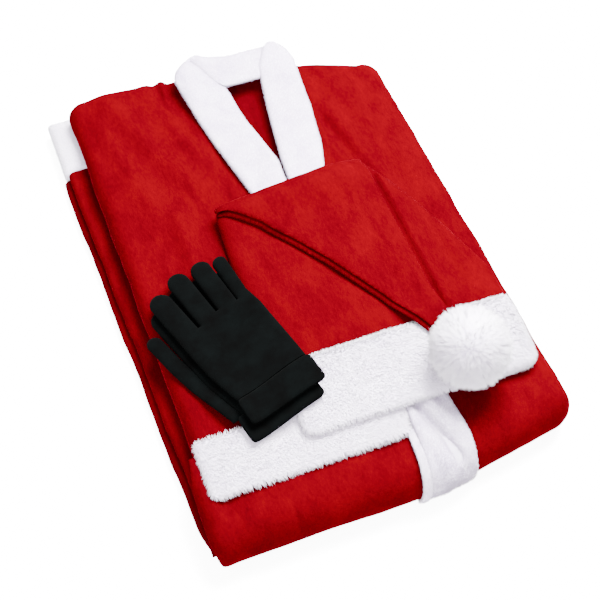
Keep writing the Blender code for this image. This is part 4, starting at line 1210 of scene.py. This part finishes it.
# ramps over which what the lower glove lies on rises: the hem band, the hat's edge, the brim
BAND_STEP, HAT_STEP, BRIM_STEP = (-0.128, -0.030), (-0.040, 0.048), (-0.085, -0.040)
CROWN_STEP = HAT_RISE + 0.0080              # height of the crown's layers at its edge
# the hat as the gloves meet it: its near and left edges
HAT_NEAR = HAT_OUTLINE[:2] + ((0.207, 0.0), (0.207, 0.1), (-0.068, 0.096))
BRIDGE = 0.018              # a glove's stiff cloth bridges steps within this distance
GLOVE_CELL, GLOVE_RIM = 0.0024, 0.12        # mesh spacing, share of the thickness at a rim
PALM_EDGE, BACK_EDGE, THUMB_EDGE, HEM_EDGE = 0.0055, 0.0075, 0.0060, 0.0018     # rounded rims
# a back's thickness at its rim, the cuff's lift over the back, unevenness of its hems
BACK_RIM, FLAP_LIFT, HEM_LUMP = 0.0008, 0.0011, 0.0008
# corners of the cuff's turned hem above the hand and below it, and how they are rounded
UPPER_HEM = ((0.0468, -0.0010), (0.0470, 0.0346), (-0.0440, 0.0346), (-0.0455, -0.0010))
LOWER_HEM = ((0.0460, 0.0005), (0.0465, 0.0346), (-0.0435, 0.0346), (-0.0445, 0.0005))
HEM_CORNER = 0.0060


def glove_place(which, u, v):
    """Where a place on a flat glove lies on the bundle."""
    (x, y), turn, _ = GLOVE_PLACES[which]
    return (x + u * math.cos(turn) - v * math.sin(turn),
            y + u * math.sin(turn) + v * math.cos(turn))


def glove_floor(x, y):
    """Lift of what the lower glove lies on: coat, hem band, or the hat's edge."""
    left, near = HAT_OUTLINE[0]
    band = past(y, BAND_STEP) * (ON_TRIM - ON_COAT)
    over = past(inside(x, y, HAT_NEAR), HAT_STEP) if y > near else 0.0
    brim = past(x - left, HAT_STEP) * (BRIM_THICK + GLOVE_GAP)
    hat = mix(over * CROWN_STEP, brim, past(y, BRIM_STEP))
    return ON_COAT + max(band, hat)


def round_tip(x, y, radius):
    """The round end of a finger about a centre, from its right side to its left one."""
    return [(x + radius * math.cos(a), y + radius * math.sin(a))
            for a in (math.radians(d) for d in range(0, 181, 15))]


def hand_outline(shift):
    """Outline of a flat hand, from the wrist's right corner round to its left one."""
    points = [(0.0440, 0.0350), (0.0445 + shift, 0.0800), (0.0440 + shift, 0.1250)]
    before = FIRST_CLEFT
    for root, tip, width, end, cleft in FINGERS:
        half = width / 2.0
        points.append((root + shift + half - HALF_CLEFT, before))
        points += round_tip(tip + shift, end - half, half)
        points.append((root + shift - half + HALF_CLEFT, cleft))
        before = cleft
    points += [(-0.0500 + shift, 0.0800), (-0.0425 + shift, 0.0350)]
    return points


def thumb_outline():
    """Outline of the lower glove's thumb and of the gusset that joins it to the palm."""
    points = [(-0.0345, 0.0330), (-0.0405, 0.0700), (-0.0445, 0.1080), (-0.0500, 0.1400)]
    points += round_tip(THUMB_TIP[0], THUMB_TIP[1] - THUMB_RADIUS, THUMB_RADIUS)
    points += [(-0.0675, 0.1300), (-0.0620, 0.0980), (-0.0560, 0.0680), (-0.0490, 0.0330)]
    return points


def glove_ground(which, u, v):
    """Height under a glove: its stiff cloth bridges the steps of what it lies on."""
    total = 0.0
    for du in (-BRIDGE, 0.0, BRIDGE):
        for dv in (-BRIDGE, 0.0, BRIDGE):
            x, y = glove_place(which, u + du, v + dv)
            total += top_height(x, y) + glove_floor(x, y)
    return total / 9.0


def glove_layer(which, outline, low, high, round_edge, lump=0.0012, open_end=False):
    """One puffed layer of a glove between two levels, given by functions of its fullness."""
    # at an open end the layer stays full, so the outline's closing edge is no rim
    rim = outline + outline[-2:0:-1] if open_end else outline

    def sides(places):
        below, above = [], []
        for (u, v), distance in zip(places, outline_distance(places, rim)):
            x, y = glove_place(which, u, v)
            ground = glove_ground(which, u, v)
            puff = GLOVE_RIM + (1.0 - GLOVE_RIM) * quarter(distance, round_edge)
            rise = ripple(u, v, 0.028, lump, 6.0) * puff
            below.append(Vector((x, y, ground + low(puff))))
            above.append(Vector((x, y, ground + high(puff) + rise)))
        return below, above

    return thicken(cut_piece(outline, GLOVE_CELL), sides)


def rounded_about(middle, half):
    """Low and high levels of a layer that thins evenly from both sides towards its rim."""
    return lambda puff: middle - half * puff, lambda puff: middle + half * puff


def joined(*parts):
    """One bmesh of several closed ones."""
    whole = bmesh.new()
    for part in parts:
        mesh = bpy.data.meshes.new("part")
        part.to_mesh(mesh)
        part.free()
        whole.from_mesh(mesh)
        bpy.data.meshes.remove(mesh)
    return whole


def glove_finish(name, mesh_data):
    """A glove's piece in fleece."""
    piece = finish_piece(name + "_fleece", mesh_data, "fleece", name)


def build_gloves():
    """A pair of fleece gloves, one laid on the other."""
    level, half_hem = 0.0, GLOVE_HEM / 2.0
    for which in ("lower", "upper"):
        outline = hand_outline(GLOVE_PLACES[which][2])
        palm, back = level + GLOVE_LAYER, level + GLOVE_LAYER + GLOVE_GAP
        glove_finish("glove_%s_palm" % which, glove_layer(
            which, outline, lambda puff: level + GLOVE_LAYER * (1.0 - puff), lambda puff: palm,
            PALM_EDGE, lump=0.0, open_end=True))
        glove_finish("glove_%s_back" % which, glove_layer(
            which, outline, lambda puff: back, lambda puff: back + GLOVE_LAYER * puff + BACK_RIM,
            BACK_EDGE, open_end=True))
        top = back + GLOVE_LAYER + FLAP_LIFT
        glove_finish("glove_%s_cuff" % which, joined(*(
            glove_layer(which, rounded_outline(corners, HEM_CORNER),
                        *rounded_about(middle, half_hem), HEM_EDGE, lump=HEM_LUMP)
            for corners, middle in ((UPPER_HEM, top - half_hem), (LOWER_HEM, level + half_hem)))))
        level = back + GLOVE_LAYER + GLOVE_REST
    glove_finish("glove_lower_thumb", glove_layer(
        "lower", thumb_outline(), *rounded_about(THUMB_HALF, THUMB_HALF), THUMB_EDGE))


# ---------------------------------------------------------------- stage
FLOOR_HALF = 40.0
# each softbox: name, place, size and share of the key light's power
SOFTBOXES = (
    ("key_softbox", (0.60, 0.35, 1.65), 1.0, 1.0),
    ("front_softbox", (-0.6, -1.2, 1.6), 1.4, 0.18),
)
CAMERA_PLACE = Vector((-0.2954, -0.7775, 1.1878))           # it looks at the bundle's own origin
LENS, SENSOR = 72.0, 36.0   # millimetres


def build_floor(glow):
    """A white floor; its own light is seen by the camera and doesn't fall on the cloth."""
    floor = bmesh.new()
    bmesh.ops.create_grid(floor, x_segments=1, y_segments=1, size=FLOOR_HALF)
    mesh = bpy.data.meshes.new("floor")
    floor.to_mesh(mesh)
    floor.free()
    ground = bpy.data.objects.new("floor", mesh)
    bpy.context.scene.collection.objects.link(ground)
    material, shader = base_material("backlit_white_acrylic", linear("#FFFFFF"), 0.9)
    shader.inputs["Emission Color"].default_value = linear("#FFFFFF")
    seen = node(material, "ShaderNodeLightPath").outputs["Is Camera Ray"]
    strength = node(material, "ShaderNodeMath", [(0, seen), (1, glow)], operation="MULTIPLY")
    material.node_tree.links.new(strength.outputs[0], shader.inputs["Emission Strength"])
    mesh.materials.append(material)


def build_stage(settings):
    """A white floor and surroundings, two softboxes and the camera."""
    build_floor(settings.glow)
    scene = bpy.context.scene
    scene.world = bpy.data.worlds.new("studio")
    scene.world.use_nodes = True
    background = scene.world.node_tree.nodes["Background"]
    background.inputs["Color"].default_value = linear("#FFFFFF")
    background.inputs["Strength"].default_value = settings.fill

    for name, place, size, share in SOFTBOXES:
        light = bpy.data.lights.new(name, "AREA")
        light.size = size
        light.energy = settings.key * share
        lamp = bpy.data.objects.new(name, light)
        lamp.location = place
        lamp.rotation_euler = (-Vector(place)).to_track_quat("-Z", "Y").to_euler()
        scene.collection.objects.link(lamp)

    camera = bpy.data.cameras.new("camera")
    camera.lens, camera.sensor_width = LENS, SENSOR
    eye = bpy.data.objects.new("camera", camera)
    eye.location = CAMERA_PLACE - ORIGIN
    eye.rotation_euler = (-CAMERA_PLACE).to_track_quat("-Z", "Y").to_euler()
    scene.collection.objects.link(eye)
    scene.camera = eye


# ---------------------------------------------------------------- add-on
class SuitPileSettings(bpy.types.PropertyGroup):
    """Lengths and counts of the plush pile."""
    long_pile: FloatProperty(name="Long pile", description="Length of the pile on the hem band "
                             "and the hat's brim", default=0.0062, unit="LENGTH",
                             subtype="DISTANCE")
    short_pile: FloatProperty(name="Short pile", description="Length of the pile on the collar, "
                              "front band and cuffs", default=0.0026, unit="LENGTH",
                              subtype="DISTANCE")
    density: FloatProperty(name="Tufts", description="Tufts of pile to the square millimetre",
                           default=1.45)
    pompom_density: FloatProperty(name="Pompom tufts", description="Tufts to the square "
                                  "millimetre of the pompom's ball", default=4.2)


def colour(name, description, code):
    """A colour that a user may change, from its sRGB hex code."""
    return FloatVectorProperty(name=name, description=description, default=linear(code), size=4,
                               min=0.0, max=1.0, subtype="COLOR")


class SuitColours(bpy.types.PropertyGroup):
    """Light tones of the suit's cloths."""
    velvet: colour("Velvet", "Coat, trousers and hat", "#430004")
    reverse: colour("Velvet's reverse", "Lining in the neck and the hidden layers", "#3A0005")
    backing: colour("Plush backing", "Ground of the plush trims", "#CFC8D6")
    pile: colour("Pile", "Hem band, hat's brim, pompom and trouser cuffs", "#F4EEF8")
    # the trim pile is the same white plush as the other pile, painted darker as shade
    trim: colour("Trim pile", "Collar and front bands", "#C6BACE")
    fleece: colour("Fleece", "Gloves", "#030404")


class SuitStageSettings(bpy.types.PropertyGroup):
    """Studio light."""
    key: FloatProperty(name="Key light", description="Power of the large softbox", default=420.0,
                       unit="POWER")
    fill: FloatProperty(name="Fill", description="Strength of the white surroundings",
                        default=2.3)
    glow: FloatProperty(name="Floor glow", description="Strength of the table's own light",
                        default=9.0)


class SUIT_OT_fronts(bpy.types.Operator):
    """Build the coat's two fronts"""
    bl_idname = "suit.fronts"
    bl_label = "Coat fronts"

    def execute(self, context):
        build_fronts()
        return {"FINISHED"}


class SUIT_OT_skirt(bpy.types.Operator):
    """Build the skirt layer under the hem band"""
    bl_idname = "suit.skirt"
    bl_label = "Coat skirt"

    def execute(self, context):
        build_skirt()
        return {"FINISHED"}


class SUIT_OT_inside(bpy.types.Operator):
    """Build the coat's back panel and the hidden layers"""
    bl_idname = "suit.inside"
    bl_label = "Back and layers"

    def execute(self, context):
        build_inside()
        build_layers()
        return {"FINISHED"}


class SUIT_OT_collar(bpy.types.Operator):
    """Build the collar's three plush bands"""
    bl_idname = "suit.collar"
    bl_label = "Collar"

    def execute(self, context):
        build_collar(context.scene.suit_pile)
        return {"FINISHED"}


class SUIT_OT_bands(bpy.types.Operator):
    """Build the hem band and the centre-front bands"""
    bl_idname = "suit.bands"
    bl_label = "Hem and front bands"

    def execute(self, context):
        build_bands(context.scene.suit_pile)
        return {"FINISHED"}


class SUIT_OT_trousers(bpy.types.Operator):
    """Build the trouser leg's layers and both cuffs"""
    bl_idname = "suit.trousers"
    bl_label = "Trousers"

    def execute(self, context):
        build_trousers(context.scene.suit_pile)
        return {"FINISHED"}


class SUIT_OT_hat(bpy.types.Operator):
    """Build the hat's cone with its tail turned over"""
    bl_idname = "suit.hat"
    bl_label = "Hat"

    def execute(self, context):
        build_hat_cloth()
        return {"FINISHED"}


class SUIT_OT_brim(bpy.types.Operator):
    """Build the hat's plush brim"""
    bl_idname = "suit.brim"
    bl_label = "Brim"

    def execute(self, context):
        build_brim(context.scene.suit_pile)
        return {"FINISHED"}


class SUIT_OT_pompom(bpy.types.Operator):
    """Build the pompom"""
    bl_idname = "suit.pompom"
    bl_label = "Pompom"

    def execute(self, context):
        build_pompom(context.scene.suit_pile)
        return {"FINISHED"}


class SUIT_OT_gloves(bpy.types.Operator):
    """Build the pair of gloves"""
    bl_idname = "suit.gloves"
    bl_label = "Gloves"

    def execute(self, context):
        build_gloves()
        return {"FINISHED"}


class SUIT_OT_stage(bpy.types.Operator):
    """Build the floor, the lights and the camera"""
    bl_idname = "suit.stage"
    bl_label = "Stage"

    def execute(self, context):
        build_stage(context.scene.suit_stage)
        return {"FINISHED"}


OPERATORS = (SUIT_OT_fronts, SUIT_OT_skirt, SUIT_OT_inside, SUIT_OT_collar, SUIT_OT_bands,
             SUIT_OT_trousers, SUIT_OT_hat, SUIT_OT_brim, SUIT_OT_pompom, SUIT_OT_gloves,
             SUIT_OT_stage)


class SUIT_PT_panel(bpy.types.Panel):
    """Lists the suit's settings and building steps"""
    bl_idname = "SUIT_PT_panel"
    bl_label = "Folded Santa Suit"
    bl_space_type = "VIEW_3D"
    bl_region_type = "UI"
    bl_category = "Suit"

    def draw(self, context):
        scene = context.scene
        for settings in (scene.suit_colours, scene.suit_pile, scene.suit_stage):
            for name in settings.__annotations__:
                self.layout.prop(settings, name)
        for operator in OPERATORS:
            self.layout.operator(operator.bl_idname)


CLASSES = (SuitPileSettings, SuitColours, SuitStageSettings) + OPERATORS + (SUIT_PT_panel,)


def register():
    for item in CLASSES:
        bpy.utils.register_class(item)
    bpy.types.Scene.suit_pile = PointerProperty(type=SuitPileSettings)
    bpy.types.Scene.suit_colours = PointerProperty(type=SuitColours)
    bpy.types.Scene.suit_stage = PointerProperty(type=SuitStageSettings)


def unregister():
    del bpy.types.Scene.suit_stage
    del bpy.types.Scene.suit_colours
    del bpy.types.Scene.suit_pile
    for item in reversed(CLASSES):
        bpy.utils.unregister_class(item)


def main():
    register()
    for operator in OPERATORS:
        group, name = operator.bl_idname.split(".")
        getattr(getattr(bpy.ops, group), name)()


if __name__ == "__main__":
    main()
